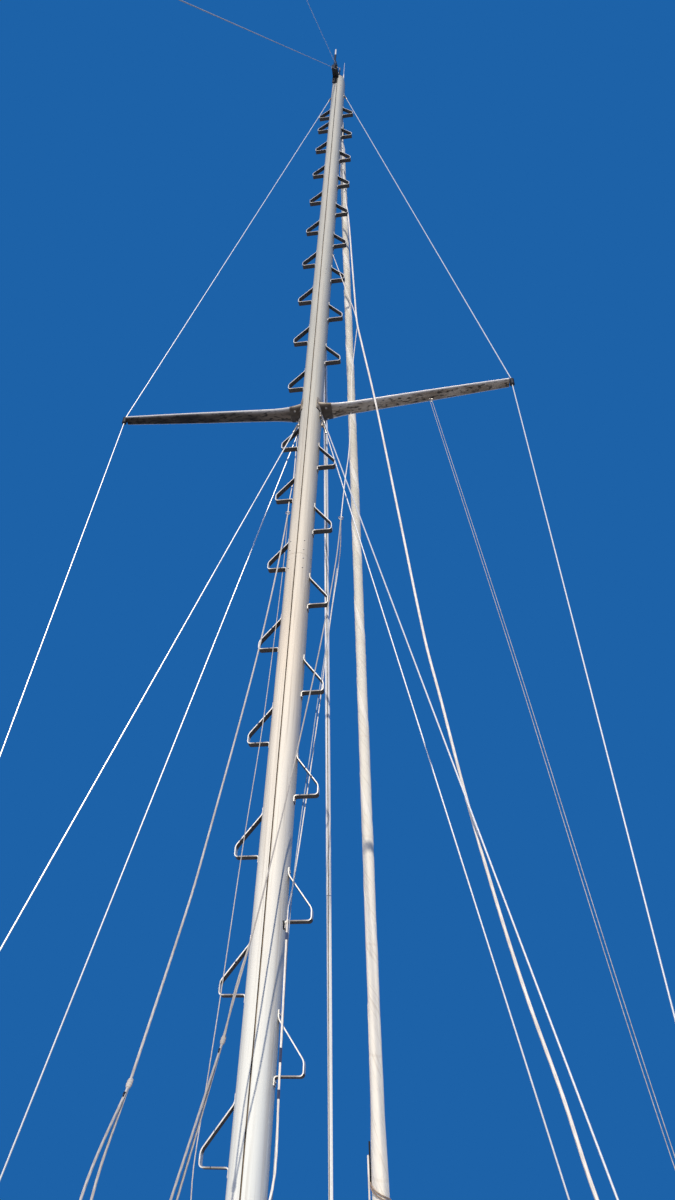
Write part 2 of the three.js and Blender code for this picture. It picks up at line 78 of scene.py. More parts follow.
# %% Camera
PICTURE_HEIGHT = 1200
FOCAL_PIXELS = 846.03
SENSOR = 36.0
CAMERA_PLACE = Vector((-3.6474, -0.8663, 0.700))
CAMERA_PITCH = math.radians(40.3566)
CAMERA_YAW = math.radians(9.7048)
CAMERA_ROLL = math.radians(2.3639)


def make_camera():
    level = Vector((math.cos(CAMERA_YAW), math.sin(CAMERA_YAW), 0))
    forward = math.cos(CAMERA_PITCH) * level + math.sin(CAMERA_PITCH) * Vector((0, 0, 1))
    right = Vector((math.sin(CAMERA_YAW), -math.cos(CAMERA_YAW), 0))
    above = right.cross(forward)
    across = math.cos(CAMERA_ROLL) * right + math.sin(CAMERA_ROLL) * above
    upward = -math.sin(CAMERA_ROLL) * right + math.cos(CAMERA_ROLL) * above
    placed = Matrix((across, upward, -forward)).transposed().to_4x4()
    placed.translation = CAMERA_PLACE
    data = bpy.data.cameras.new("view")
    data.sensor_width = SENSOR
    data.lens = FOCAL_PIXELS / PICTURE_HEIGHT * SENSOR
    data.clip_start = 0.05
    data.clip_end = 200
    camera = bpy.data.objects.new("view", data)
    bpy.context.scene.collection.objects.link(camera)
    camera.matrix_world = placed
    bpy.context.scene.camera = camera
    return camera


print("lens", round(make_camera().data.lens, 2), "mm")

# %% [markdown]
# ## Light
#
# The rig stands in sunlight from behind the camera and a little to starboard. Where the sun stands was
# worked out from shadows: two thin ones of the lazy jacks on the mast, and that of the starboard spreader
# across the furled sail. A second lamp, very wide and low on the port side, stands for the glare off the
# water. The world is one plain blue, and a pale floor returns some light from below.

# %% Sun, backdrop and floor
def linear(code):
    """An sRGB hex value as the linear colour that shaders use."""
    parts = [int(code[i : i + 2], 16) / 255 for i in (1, 3, 5)]
    return (*(p / 12.92 if p <= 0.04045 else ((p + 0.055) / 1.055) ** 2.4 for p in parts), 1.0)


SUN_FROM = Vector((-0.896, -0.118, 0.427))
GLARE_FROM = Vector((-0.62, 0.78, 0.10))


def sun_lamp(name, direction, code, power, width_degrees):
    lamp = bpy.data.objects.new(name, bpy.data.lights.new(name, "SUN"))
    lamp.data.energy = power
    lamp.data.angle = math.radians(width_degrees)
    lamp.data.color = linear(code)[:3]
    lamp.rotation_mode = "QUATERNION"
    lamp.rotation_quaternion = direction.to_track_quat("Z", "Y")
    bpy.context.scene.collection.objects.link(lamp)


def make_light():
    sun_lamp("sun", SUN_FROM, "#fff4e2", power=3.8, width_degrees=0.53)
    sun_lamp("glare", GLARE_FROM, "#fff0dc", power=1.1, width_degrees=60)
    world = bpy.data.worlds.new("backdrop")
    world.use_nodes = True
    world.node_tree.nodes["Background"].inputs["Color"].default_value = linear("#1d62a8")
    bpy.context.scene.world = world
    bpy.context.scene.view_settings.view_transform = "Standard"


make_light()
print("sun", round(math.degrees(SUN_FROM.angle(Vector((0, 0, 1)))), 1), "degrees from overhead")

# %% [markdown]
# ## Finishes
#
# Each finish starts from what the real surface is. One helper adds a node with its settings and links,
# one makes soft blotches whose size is a real one in millimetres, one fades with height or direction, and
# one lays colours over each other and gives the surface its relief. With those, a finish is a few lines
# that read as a recipe.

# %% Helpers for finishes
MM = 0.001


def add(tree, kind, inputs=None, **settings):
    """Adds one node, with its settings, and with values or other nodes' outputs at its inputs."""
    made = tree.nodes.new(kind)
    for name, value in settings.items():
        setattr(made, name, value)
    for socket, value in (inputs or {}).items():
        if isinstance(value, bpy.types.NodeSocket):
            tree.links.new(value, made.inputs[socket])
        else:
            made.inputs[socket].default_value = value
    return made


def finish(name, roughness, metallic=0.0):
    """A new material: (material, node tree, object coordinates in metres)."""
    material = bpy.data.materials.new(name)
    material.use_nodes = True
    shader = material.node_tree.nodes["Principled BSDF"]
    shader.inputs["Roughness"].default_value = roughness
    shader.inputs["Metallic"].default_value = metallic
    place = add(material.node_tree, "ShaderNodeTexCoord").outputs["Object"]
    return material, material.node_tree, place


def blotches(tree, place, size_mm, low, high, stretch=(1, 1, 1)):
    """Noise from 0 to 1, with blobs of a real size that are drawn out along the axes by stretch."""
    scale = [1 / (size_mm * MM * factor) for factor in stretch]
    sized = add(tree, "ShaderNodeMapping", {"Vector": place, "Scale": scale})
    cloud = add(tree, "ShaderNodeTexNoise", {"Vector": sized.outputs[0], "Scale": 1.0, "Detail": 3.0})
    edges = {"Value": cloud.outputs[0], "From Min": low, "From Max": high}
    return add(tree, "ShaderNodeMapRange", edges).outputs[0]


def band(tree, vector, axis, start, full):
    """How far one coordinate of a vector has come from start, which gives 0, to full, which gives 1."""
    value = add(tree, "ShaderNodeSeparateXYZ", {0: vector}).outputs[axis]
    return add(tree, "ShaderNodeMapRange", {"Value": value, "From Min": start, "From Max": full}).outputs[0]


def coat(tree, base, layers, relief=None, height_mm=0.0, rough=None):
    """Lays (pattern, colour, strength) layers over a base, and sets relief and (pattern, low, high)."""
    shader = tree.nodes["Principled BSDF"]
    colour = linear(base)
    for pattern, code, strength in layers:
        share = add(tree, "ShaderNodeMath", {0: pattern, 1: strength}, operation="MULTIPLY")
        mix = {0: share.outputs[0], 6: colour, 7: linear(code)}
        colour = add(tree, "ShaderNodeMix", mix, data_type="RGBA").outputs[2]
    tree.links.new(colour, shader.inputs["Base Color"])
    if relief:
        bump = add(tree, "ShaderNodeBump", {"Height": relief, "Distance": height_mm * MM})
        tree.links.new(bump.outputs[0], shader.inputs["Normal"])
    if rough:
        edges = {"Value": rough[0], "To Min": rough[1], "To Max": rough[2]}
        tree.links.new(add(tree, "ShaderNodeMapRange", edges).outputs[0], shader.inputs["Roughness"])


# %% [markdown]
# ### Painted and bare alloy
#
# The mast and boom are extruded alloy sprayed with a cream two-part paint. After years outdoors it is
# chalky, with thin grey runs of dirt drawn down by rain, so the noise is stretched along Z. It is whiter
# low down, fading out by about 3.4 m, and greyer from there, fully so above 6 m. The spreaders are
# anodised alloy, pale on top. Underneath, as set by which way they face, they are mottled brown and
# black: partly stain and mould, and partly painted shade. The port spreader's underside is darker than
# the starboard one's, which is painted shade too.

# %% Alloy finishes
def spar_paint(name, axis):
    """Chalking cream paint, streaked along one axis: 2, which is Z, on the mast, and 0 on the boom."""
    def streaked(factor):
        return [factor if n == axis else 1 for n in range(3)]

    material, tree, place = finish(name, 0.55)
    # Whiter low down, gone by 3.4 m, and greyer from 3.3 m to 6 m and above, by height alone
    whiter_low, greyer_high = band(tree, place, "Z", 3.4, 1.2), band(tree, place, "Z", 3.3, 6.0)
    chalk = blotches(tree, place, 60, 0.42, 0.66, stretch=streaked(8))
    broad = blotches(tree, place, 34, 0.5, 0.74, stretch=streaked(30))
    runs = blotches(tree, place, 9, 0.54, 0.72, stretch=streaked(70))
    specks = blotches(tree, place, 4, 0.68, 0.76)
    layers = [
        (chalk, "#dfd7c9", 0.6), (greyer_high, "#a8aaa3", 0.85), (whiter_low, "#dae1e0", 0.8),
        (broad, "#a59b8d", 0.35), (runs, "#857a6d", 0.4), (specks, "#6f655a", 0.4),
    ]
    grain = blotches(tree, place, 5, 0.3, 0.7)
    coat(tree, "#d5cab9", layers, grain, 0.06, (chalk, 0.5, 0.7))
    return material


def groove_grime_and_shade():
    """Grease and grit in the luff groove, darkened as painted shade for the groove's depth, and blacker above
    about 8 m, which is painted shade too.
    """
    material, tree, place = finish("greased_grit_and_painted_shade", 0.85)
    painted_shade_high = band(tree, place, "Z", 8.0, 10.5)
    worn = blotches(tree, place, 12, 0.4, 0.6, stretch=(1, 1, 6))
    coat(tree, "#5a5045", [(worn, "#8d8172", 0.7), (painted_shade_high, "#1f1d19", 0.9)])
    return material


def facing_down(tree, start, full):
    """How far a surface faces down, from 0 at the first height of its normal to 1 at the second."""
    return band(tree, add(tree, "ShaderNodeTexCoord").outputs["Normal"], "Z", start, full)


def weathered_and_shaded_anodising(name, top, underside, stain_and_shade, mould_and_shade):
    """Anodised tube: the layers below only count where the surface faces down, out to a blackened tip, and
    are partly stain and mould, partly painted shade.
    """
    material, tree, place = finish(name, 0.5, 0.3)
    below = facing_down(tree, -0.86, -0.97)
    outer = band(tree, place, "Y", 0.15, 0.9)
    film = blotches(tree, place, 60, 0.4, 0.6, stretch=(1, 3, 1))
    spots = blotches(tree, place, 15, 0.52, 0.62, stretch=(1, 2.6, 1))
    fine = blotches(tree, place, 5, 0.58, 0.68)
    # Underside layers: stain and mould, and painted shade
    tip, dirt, black = (
        add(tree, "ShaderNodeMath", {0: pattern, 1: below}, operation="MULTIPLY").outputs[0]
        for pattern in (outer, film, spots)
    )
    layers = [(below, underside, 0.97), (dirt, stain_and_shade, 0.8), (tip, "#161819", 0.75), (black, mould_and_shade, 0.85)]
    coat(tree, top, layers, fine, 0.05, (below, 0.4, 0.8))
    return material


def strap_alloy():
    """Flat bar, bent cold and left bare: clean above, with oxide and rust, and dark brown where it faces
    down, which is painted shade.
    """
    material, tree, place = finish("rolled_alloy_strap", 0.42, 0.35)
    below = facing_down(tree, -0.05, -0.3)
    oxide = blotches(tree, place, 16, 0.45, 0.62)
    rust = blotches(tree, place, 28, 0.64, 0.74, stretch=(1, 1, 2))
    grain = blotches(tree, place, 3, 0.3, 0.7)
    # The colour where the bar faces down is painted shade
    layers = [(oxide, "#b3afa8", 0.4), (rust, "#7d5f45", 0.35), (below, "#3e362f", 0.94)]
    coat(tree, "#dcdbd7", layers, grain, 0.03, (below, 0.4, 0.75))
    return material


def cast_alloy():
    """Sand-cast fittings: dull and open-grained, with brown dirt in blotches and dark pits, and darker brown
    where they face down, which is painted shade.
    """
    material, tree, place = finish("sand_cast_alloy", 0.62, 0.5)
    below = facing_down(tree, -0.3, -0.9)
    dirt = blotches(tree, place, 30, 0.44, 0.62)
    pits = blotches(tree, place, 4, 0.56, 0.66)
    # The colour where the casting faces down is painted shade
    layers = [(dirt, "#5f5346", 0.6), (below, "#44382c", 0.85), (pits, "#3d342b", 0.5)]
    coat(tree, "#b3aa9c", layers, pits, 0.15)
    return material


def satin_anodising():
    """Clear-anodised luff extrusion: satin silver, with faint lines along the die's path."""
    material, tree, place = finish("satin_anodised_extrusion", 0.4, 0.15)
    lines = blotches(tree, place, 4, 0.4, 0.6, stretch=(1, 1, 60))
    dirt = blotches(tree, place, 40, 0.5, 0.7, stretch=(1, 1, 5))
    coat(tree, "#f0f2f1", [(lines, "#cfd2d2", 0.3), (dirt, "#b5b0a8", 0.2)], lines, 0.03)
    return material


paint = spar_paint("polyurethane_painted_alloy", 2)
boom_paint = spar_paint("polyurethane_painted_boom", 0)
grime_and_shade = groove_grime_and_shade()
# The port spreader gets the darker underside: painted shade
shaded_port_anodising = weathered_and_shaded_anodising("mould_and_shade_darkened_anodising", "#eeece8", "#7a6c5c", "#2e2822", "#120f0c")
starboard_anodising = weathered_and_shaded_anodising("mottled_and_shaded_anodising", "#eeece8", "#b8ab98", "#85745f", "#2b241d")
strap = strap_alloy()
casting = cast_alloy()
extrusion = satin_anodising()
alloys = (paint, boom_paint, grime_and_shade, shaded_port_anodising, starboard_anodising, strap, casting, extrusion)
print("alloy", [m.name for m in alloys])

# %% [markdown]
# ### Wire, rope and cloth
#
# A rope's look lies in how its yarns cross. Such a pattern has to follow the rope, so it reads the piece's
# own UV map, which holds turns round the rope in U and metres along it in V. Two waves that lean opposite
# ways make a braid, and one alone makes the lay of a wire. The real pitch is a few millimetres, too fine
# to show from the deck, so each is drawn several times coarser.

# %% Wire, rope and cloth finishes
def leaning_wave(tree, starts, pitch_mm):
    """Stripes that wind round a rope, with a turn to every pitch."""
    flat = add(tree, "ShaderNodeSeparateXYZ", {0: add(tree, "ShaderNodeTexCoord").outputs["UV"]}).outputs
    turns = {0: flat["Y"], 1: 2 * math.pi / (pitch_mm * MM)}
    along = add(tree, "ShaderNodeMath", turns, operation="MULTIPLY")
    phase = {0: flat["X"], 1: 2 * math.pi * starts, 2: along.outputs[0]}
    angle = add(tree, "ShaderNodeMath", phase, operation="MULTIPLY_ADD")
    wave = add(tree, "ShaderNodeMath", {0: angle.outputs[0]}, operation="SINE")
    return add(tree, "ShaderNodeMapRange", {"Value": wave.outputs[0], "From Min": -1.0}).outputs[0]


def laid_wire():
    """Nineteen strands of stainless wire laid one way, drawn with six starts, and darker in the grooves
    between them as painted shade.
    """
    material, tree, place = finish("laid_stainless_wire", 0.42, 0.6)
    strands = leaning_wave(tree, 6, 30)
    salt = blotches(tree, place, 60, 0.5, 0.68, stretch=(1, 1, 6))
    coat(tree, "#eceff0", [(strands, "#b5b3ae", 0.15), (salt, "#cfc4b4", 0.2)], strands, 0.05)
    return material


def polished_steel():
    """Turned and polished stainless steel, with tea-coloured rust starting in its corners."""
    material, tree, place = finish("polished_stainless", 0.3, 1.0)
    tea = blotches(tree, place, 14, 0.48, 0.66)
    coat(tree, "#b4b1ab", [(tea, "#75583f", 0.45)], blotches(tree, place, 3, 0.3, 0.7), 0.01, (tea, 0.3, 0.6))
    return material


def braid(name, base, shadow, dirt, pitch_mm=55, starts=4):
    """Braided polyester cover: matt, slightly fuzzy, greying where it is handled."""
    material, tree, place = finish(name, 0.85)
    left, right = leaning_wave(tree, starts, pitch_mm), leaning_wave(tree, -starts, pitch_mm)
    crossing = add(tree, "ShaderNodeMath", {0: left, 1: right}, operation="MULTIPLY").outputs[0]
    greyed = blotches(tree, place, 120, 0.42, 0.64)
    coat(tree, base, [(crossing, shadow, 0.45), (greyed, dirt, 0.5)], crossing, 0.6)
    tree.nodes["Principled BSDF"].inputs["Sheen Weight"].default_value = 0.2
    return material


PANEL_WIDTH = 0.86
SEAM_WIDTH = 0.024
HEM_WIDTH = 0.05
WEAVE_MM = 7
CREASE_LEAN = math.radians(24)


def dacron():
    """
    Woven polyester sailcloth, yellowed by the sun, in crosscut panels with overlapped seams.
    Its UV map is the flat cloth in metres, in from the leech and up from the foot, so that creases
    which lean on the cloth climb round the roll. The folds and creases are darkened as painted shade.
    """
    material, tree, place = finish("woven_polyester_sailcloth", 0.72)
    cloth = add(tree, "ShaderNodeTexCoord").outputs["UV"]
    up = add(tree, "ShaderNodeSeparateXYZ", {0: cloth}).outputs["Y"]
    panels = add(tree, "ShaderNodeMath", {0: up, 1: PANEL_WIDTH}, operation="MODULO").outputs[0]
    seam_edges = {"Value": panels, "From Min": SEAM_WIDTH, "From Max": SEAM_WIDTH - 0.006}
    seam = add(tree, "ShaderNodeMapRange", seam_edges).outputs[0]
    hem = band(tree, cloth, "X", HEM_WIDTH, HEM_WIDTH - 0.002)
    threads = {"Vector": place, "Scale": 1 / (WEAVE_MM * MM), "Distortion": 2.0}
    weft = add(tree, "ShaderNodeTexWave", threads, bands_direction="Z").outputs[1]
    leaning = add(tree, "ShaderNodeMapping", {"Vector": cloth, "Rotation": (0, 0, CREASE_LEAN)}).outputs[0]
    # Folds and creases, darker along the lean: painted shade
    folds = blotches(tree, leaning, 30, 0.44, 0.66, stretch=(1, 14, 1))
    sharp = blotches(tree, leaning, 15, 0.56, 0.64, stretch=(1, 22, 1))
    # Greyer from 3 m up to 7.5 m, by height alone
    greyer_aloft = band(tree, place, "Z", 3.0, 7.5)
    mildew = blotches(tree, place, 26, 0.62, 0.76, stretch=(1, 1, 3))
    layers = [
        (greyer_aloft, "#c3c0b1", 0.9), (folds, "#efe8dc", 0.35), (sharp, "#c4b8a4", 0.35), (seam, "#cfc2ac", 0.2),
        (mildew, "#b9ad99", 0.25), (weft, "#f6f1e6", 0.2), (hem, "#fbf8f0", 0.5),
    ]
    creases = add(tree, "ShaderNodeMath", {0: weft, 1: sharp}, operation="SUBTRACT").outputs[0]
    coat(tree, "#fefaee", layers, creases, 0.5)
    tree.nodes["Principled BSDF"].inputs["Sheen Weight"].default_value = 0.15
    return material


def moulded(name, code, roughness, dust):
    """Injection-moulded plastic: one even colour, a fine spark-eroded grain and a bloom of dust."""
    material, tree, place = finish(name, roughness)
    bloom = blotches(tree, place, 35, 0.45, 0.7)
    coat(tree, code, [(bloom, dust, 0.35)], blotches(tree, place, 2.5, 0.4, 0.6), 0.04)
    return material


wire = laid_wire()
steel = polished_steel()
white_braid = braid("braided_white_polyester", "#efebe4", "#b5aea4", "#cbc3b8")
thick_braid = braid("sun_bleached_polyester", "#eae6e0", "#a8a29b", "#c2bbb2", pitch_mm=80)
grey_braid = braid("weathered_grey_polyester", "#c3bfba", "#7d7872", "#979089", pitch_mm=45)
# A darker copy of the grey braid for the starboard leg: painted shade
dark_braid = braid("shade_darkened_polyester", "#aeaaa5", "#8a8580", "#96918b", pitch_mm=45)
blue_braid = braid("blue_grey_polyester", "#aebac8", "#657384", "#8e9aa7", pitch_mm=40)
brown_braid = braid("stained_polyester", "#a08a76", "#6b5747", "#7d6a5b", pitch_mm=50)
navy_twine = braid("navy_whipping_twine", "#26355a", "#141c33", "#3b4a6b", pitch_mm=20, starts=8)
sailcloth = dacron()
black_nylon = moulded("black_moulded_nylon", "#101114", 0.5, "#2b2b2d")
white_acetal = moulded("white_moulded_acetal", "#dcdad4", 0.35, "#c0bbb0")
print("soft finishes", [m.name for m in (wire, steel, white_braid, sailcloth, black_nylon)])

# %% [markdown]
# ## Helpers for shapes
#
# Most of a rig is round or flat: wires and ropes are a ring drawn along a path, terminals and drums are a
# profile spun round an axis, and plates are outlines with thickness. Each gets one helper. A part is made
# in a small bmesh of its own and then added to its piece, so that the clean-up operators, which merge
# doubles and turn faces outwards, only see that part.

# %% Parts and pieces
ORIGIN = Matrix.Identity(4)
# About X, which turns Z to -Y
QUARTER_TURN = Matrix.Rotation(math.pi / 2, 4, "X")


def stand(start, direction, side=(0, 1, 0)):
    """A matrix with its origin at start, its Z along a direction, and its X as near side as can be."""
    along = Vector(direction).normalized()
    across = (Vector(side) - along * along.dot(Vector(side))).normalized()
    placed = Matrix((across, along.cross(across), along)).transposed().to_4x4()
    placed.translation = start
    return placed


def add_part(bm, part, matrix=ORIGIN, index=None):
    """Cleans a part's mesh, places it, gives it a material's number, and adds it to a piece."""
    bmesh.ops.remove_doubles(part, verts=part.verts, dist=1e-6)
    bmesh.ops.transform(part, matrix=matrix, verts=part.verts)
    bmesh.ops.recalc_face_normals(part, faces=part.faces)
    if index is not None:
        for face in part.faces:
            face.material_index = index
    mesh = bpy.data.meshes.new("part")
    part.to_mesh(mesh)
    part.free()
    bm.from_mesh(mesh)
    bpy.data.meshes.remove(mesh)


def piece(bm, name, *materials, body="root", slot=None, replaces=(), sharp=35):
    """Makes a smooth-shaded object of a finished bmesh, and lets it ride on a body."""
    mesh = bpy.data.meshes.new(name)
    bm.to_mesh(mesh)
    bm.free()
    for material in materials:
        mesh.materials.append(material)
    mesh.polygons.foreach_set("use_smooth", [True] * len(mesh.polygons))
    mesh.set_sharp_from_angle(angle=math.radians(sharp))
    made = bpy.data.objects.new(name, mesh)
    bpy.context.scene.collection.objects.link(made)
    if body:
        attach(made, body)
    if replaces:
        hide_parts(*replaces)
    return made


# %% [markdown]
# ### Boxes, plates and turned parts
#
# A box or a plate from the workshop never has knife edges, so both are bevelled a little. A turned part is
# half a profile spun through a full circle. Its rows give the distance along the axis and the radius, in
# millimetres, as on a machinist's drawing.

# %% Box, plate and turned part
def round_off(part, geometry, size, kind="EDGES", segments=2):
    bmesh.ops.bevel(
        part, geom=geometry, offset=size, affect=kind, segments=segments, profile=0.5, material=-1,
    )


def box(bm, low, high, bevel=0.0, matrix=ORIGIN, index=0):
    part = bmesh.new()
    low, high = Vector(low), Vector(high)
    scaled = Matrix.Translation((low + high) / 2) @ Matrix.Diagonal((*(high - low), 1))
    bmesh.ops.create_cube(part, size=1, matrix=scaled)
    if bevel:
        round_off(part, list(part.edges), bevel)
    add_part(bm, part, matrix, index)


def rounded(width, height, radius, corners=5):
    """The outline of a rectangle with round corners, standing on its middle."""
    outline = []
    for turn, (sx, sy) in enumerate([(1, 1), (-1, 1), (-1, -1), (1, -1)]):
        for i in range(corners + 1):
            angle = math.pi / 2 * (turn + i / corners)
            x = sx * (width / 2 - radius) + radius * math.cos(angle)
            outline.append((x, sy * (height / 2 - radius) + radius * math.sin(angle)))
    return outline


def plate(bm, outline, thick, bevel=0.0, matrix=ORIGIN, index=0):
    """A plate whose outline lies in XY, with its thickness upwards from there."""
    part = bmesh.new()
    face = part.faces.new([part.verts.new((x, y, 0)) for x, y in outline])
    grown = bmesh.ops.extrude_face_region(part, geom=[face])["geom"]
    top = [item for item in grown if isinstance(item, bmesh.types.BMVert)]
    bmesh.ops.translate(part, verts=top, vec=(0, 0, thick))
    if bevel:
        rims = [edge for edge in part.edges if abs(edge.verts[0].co.z - edge.verts[1].co.z) < 1e-7]
        round_off(part, rims, bevel)
    add_part(bm, part, matrix, index)


def spin(part, geometry, steps):
    """Spins geometry once round the Z axis."""
    bmesh.ops.spin(
        part, geom=geometry, cent=(0, 0, 0), axis=(0, 0, 1), angle=2 * math.pi, steps=steps, use_merge=True,
    )


def turned(bm, rows, matrix=ORIGIN, steps=20, index=0):
    """Spins rows of (millimetres along, millimetres of radius) round Z, and closes both ends flat."""
    part = bmesh.new()
    rows = [*rows]
    if rows[0][1]:
        rows.insert(0, (rows[0][0], 0))
    if rows[-1][1]:
        rows.append((rows[-1][0], 0))
    chain = [part.verts.new((radius * MM, 0, along * MM)) for along, radius in rows]
    links = [part.edges.new(pair) for pair in zip(chain, chain[1:])]
    spin(part, chain + links, steps)
    add_part(bm, part, matrix, index)


# %% [markdown]
# ### Rings drawn along a path
#
# A tube could be a curve object with a round bevel. A bmesh ring that is extruded step by step gives the
# same shape and, with two numbers kept on its vertices, also the UV map that the braid needs. The path
# runs smoothly through a few known points, with handles no longer than a third of each stretch, so that
# it never loops.

# %% Tube
def smooth_path(points, spacing=0.1):
    points = [Vector(point) for point in points]
    chain = [points[0] * 2 - points[1], *points, points[-1] * 2 - points[-2]]
    path = []
    for before, a, b, after in zip(chain, chain[1:], chain[2:], chain[3:]):
        reach = (b - a).length / 3
        leave, arrive = (b - before).normalized() * reach, (after - a).normalized() * reach
        count = max(2, round((b - a).length / spacing) + 1)
        path += interpolate_bezier(a, a + leave, b - arrive, b, count)[:-1]
    return [*path, points[-1]]


def ring_on(part, edges, matrix):
    """Extrudes a ring of edges and moves the new one by a matrix: (its vertices, its edges)."""
    fresh = bmesh.ops.extrude_edge_only(part, edges=edges)["geom"]
    verts = [item for item in fresh if isinstance(item, bmesh.types.BMVert)]
    bmesh.ops.transform(part, matrix=matrix, verts=verts)
    known = set(verts)
    return verts, [e for e in fresh if isinstance(e, bmesh.types.BMEdge) and known.issuperset(e.verts)]


def close(part, edges):
    bmesh.ops.holes_fill(part, edges=edges, sides=0)


def drawn(part, places):
    """Draws a part that is one ring through a row of matrices, and closes both ends."""
    edges = list(part.edges)
    bmesh.ops.transform(part, matrix=places[0], verts=part.verts)
    close(part, edges)
    for before, after in zip(places, places[1:]):
        edges = ring_on(part, edges, after @ before.inverted())[1]
    close(part, edges)
    return part


def tube(bm, path, radius_mm, sides=8, index=0, twist=0.0, shape=None):
    """Draws a ring along a path. A shape changes the first ring, and twist turns it, in radians a metre."""
    part = bmesh.new()
    turn = part.verts.layers.float.new("turn")
    metres = part.verts.layers.float.new("metres")
    path = [Vector(point) for point in path]
    heading = (path[1] - path[0]).normalized()
    side = Vector((0, 1, 0)) if abs(heading.y) < 0.9 else Vector((1, 0, 0))
    here = stand(path[0], heading, side)
    ring = bmesh.ops.create_circle(part, segments=sides, radius=radius_mm * MM)["verts"]
    for number, vert in enumerate(ring):
        vert[turn] = number / sides
    if shape:
        shape(ring)
    edges = list(part.edges)
    bmesh.ops.transform(part, matrix=here, verts=ring)
    close(part, edges)
    travelled = 0.0
    for n, point in enumerate(path[1:], 1):
        following = path[min(n + 1, len(path) - 1)] - path[n - 1]
        swing = heading.rotation_difference(following.normalized()).to_matrix()
        side, heading = swing @ side, following.normalized()
        step = (point - path[n - 1]).length
        travelled += step
        side = Matrix.Rotation(twist * step, 3, heading) @ side
        there = stand(point, heading, side)
        ring, edges = ring_on(part, edges, there @ here.inverted())
        for vert in ring:
            vert[metres] = travelled
        here = there
    close(part, edges)
    uv = part.loops.layers.uv.new("UVMap")
    for face in part.faces:
        last = max(vert[turn] for vert in face.verts) > 0.7
        for loop in face.loops:
            share = loop.vert[turn]
            loop[uv].uv = (share + 1 if last and share < 0.3 else share, loop.vert[metres])
    part.verts.layers.float.remove(turn)
    part.verts.layers.float.remove(part.verts.layers.float["metres"])
    add_part(bm, part, index=index)


# %% [markdown]
# ### Small hardware
#
# Rivets, hexagon heads, shackles and knots are repeated many times over. Each is drawn once as a template
# and stamped wherever it is needed, so that a change to the template reaches every one of them.

# %% Hardware templates
def template(name, build):
    """Keeps a small part as a mesh that can be stamped."""
    bm = bmesh.new()
    build(bm)
    mesh = bpy.data.meshes.new(name)
    bm.to_mesh(mesh)
    bm.free()
    return mesh


def stamp(bm, mesh, matrix, index=None):
    part = bmesh.new()
    part.from_mesh(mesh)
    add_part(bm, part, matrix, index)


def build_rivet(bm):
    """A closed-end rivet's head, 11 mm across, standing on its seat."""
    turned(bm, [(-1, 5.5), (0.6, 5.2), (2.2, 3.2), (2.7, 0)], steps=10)


def build_bolt(bm):
    """A hexagon head on a washer."""
    turned(bm, [(-1, 8), (1.2, 8)], steps=14)
    turned(bm, [(1.2, 6.6), (5.4, 6.6), (6.2, 5.6)], steps=6)


def build_shackle(bm):
    """A bow shackle that hangs from its pin along -Z, 34 mm long."""
    bow = [(0, 9, 0), (0, 9, -14), (0, 6, -25), (0, 0, -29), (0, -6, -25), (0, -9, -14), (0, -9, 0)]
    tube(bm, smooth_path([Vector(p) * MM for p in bow], 0.005), 2.6)
    turned(bm, [(-13, 4.5), (-10, 4.5), (-10, 2.6), (12, 2.6)], QUARTER_TURN, steps=10)


def ring_at(bm, place, radius_mm, thick_mm, axis, index=0):
    """A closed ring of round bar, made by spinning its section."""
    part = bmesh.new()
    section = Matrix.Translation((radius_mm * MM, 0, 0)) @ QUARTER_TURN
    bmesh.ops.create_circle(part, segments=10, radius=thick_mm * MM, matrix=section)
    spin(part, list(part.verts) + list(part.edges), 24)
    add_part(bm, part, stand(place, axis, (0, 0, 1)), index)


def build_knot(bm):
    """A stopper knot, 34 mm long: the rope's own turns, drawn tight."""
    turns = [(-17, 5), (-13, 7.5), (-9, 6.2), (-5, 8.6), (0, 6.6), (5, 8.8), (9, 6.4), (13, 7.4), (17, 5)]
    turned(bm, turns, steps=14)


rivet = template("rivet", build_rivet)
bolt = template("bolt", build_bolt)
shackle = template("shackle", build_shackle)
knot = template("knot", build_knot)
print("hardware", {m.name: len(m.polygons) for m in (rivet, bolt, shackle, knot)}, "faces")

# %% [markdown]
# ## The mast
#
# A mast is one alloy extrusion, or two sleeved together where it is too long for the press. Here they meet
# about four metres up. The section is a superellipse, fuller than an ellipse, and down its aft edge runs
# the luff groove that holds the mainsail. A circle is pulled to that oval, the two edges beside its aft
# point are split, and the new points are set as lips round a slot. Then the ring is extruded upwards.

# %% Mast tubes
MAST_CHORD = 0.200
MAST_WIDTH = 0.142
OVAL_POWER = 2.6
HEEL_TOP = 0.0603
SPLICE, SPLICE_GAP = 4.148, 0.0003
MAST_TOP = 12.010
CHAMFER = 0.002
# Half of the slot from its floor outwards: x, y
SLOT = [(-0.0860, 0.0042), (-0.1003, 0.0032), (-0.1010, 0.0060)]
GROOVE_LOW, GROOVE_HIGH, GROOVE_SIDE = -0.098, -0.080, 0.006


def oval(ring, length, breadth):
    """Pulls a circle of radius 1 to an oval between an ellipse and a rectangle."""
    for vert in ring:
        x, y = vert.co.xy
        vert.co.x = length / 2 * math.copysign(abs(x) ** (2 / OVAL_POWER), x)
        vert.co.y = breadth / 2 * math.copysign(abs(y) ** (2 / OVAL_POWER), y)


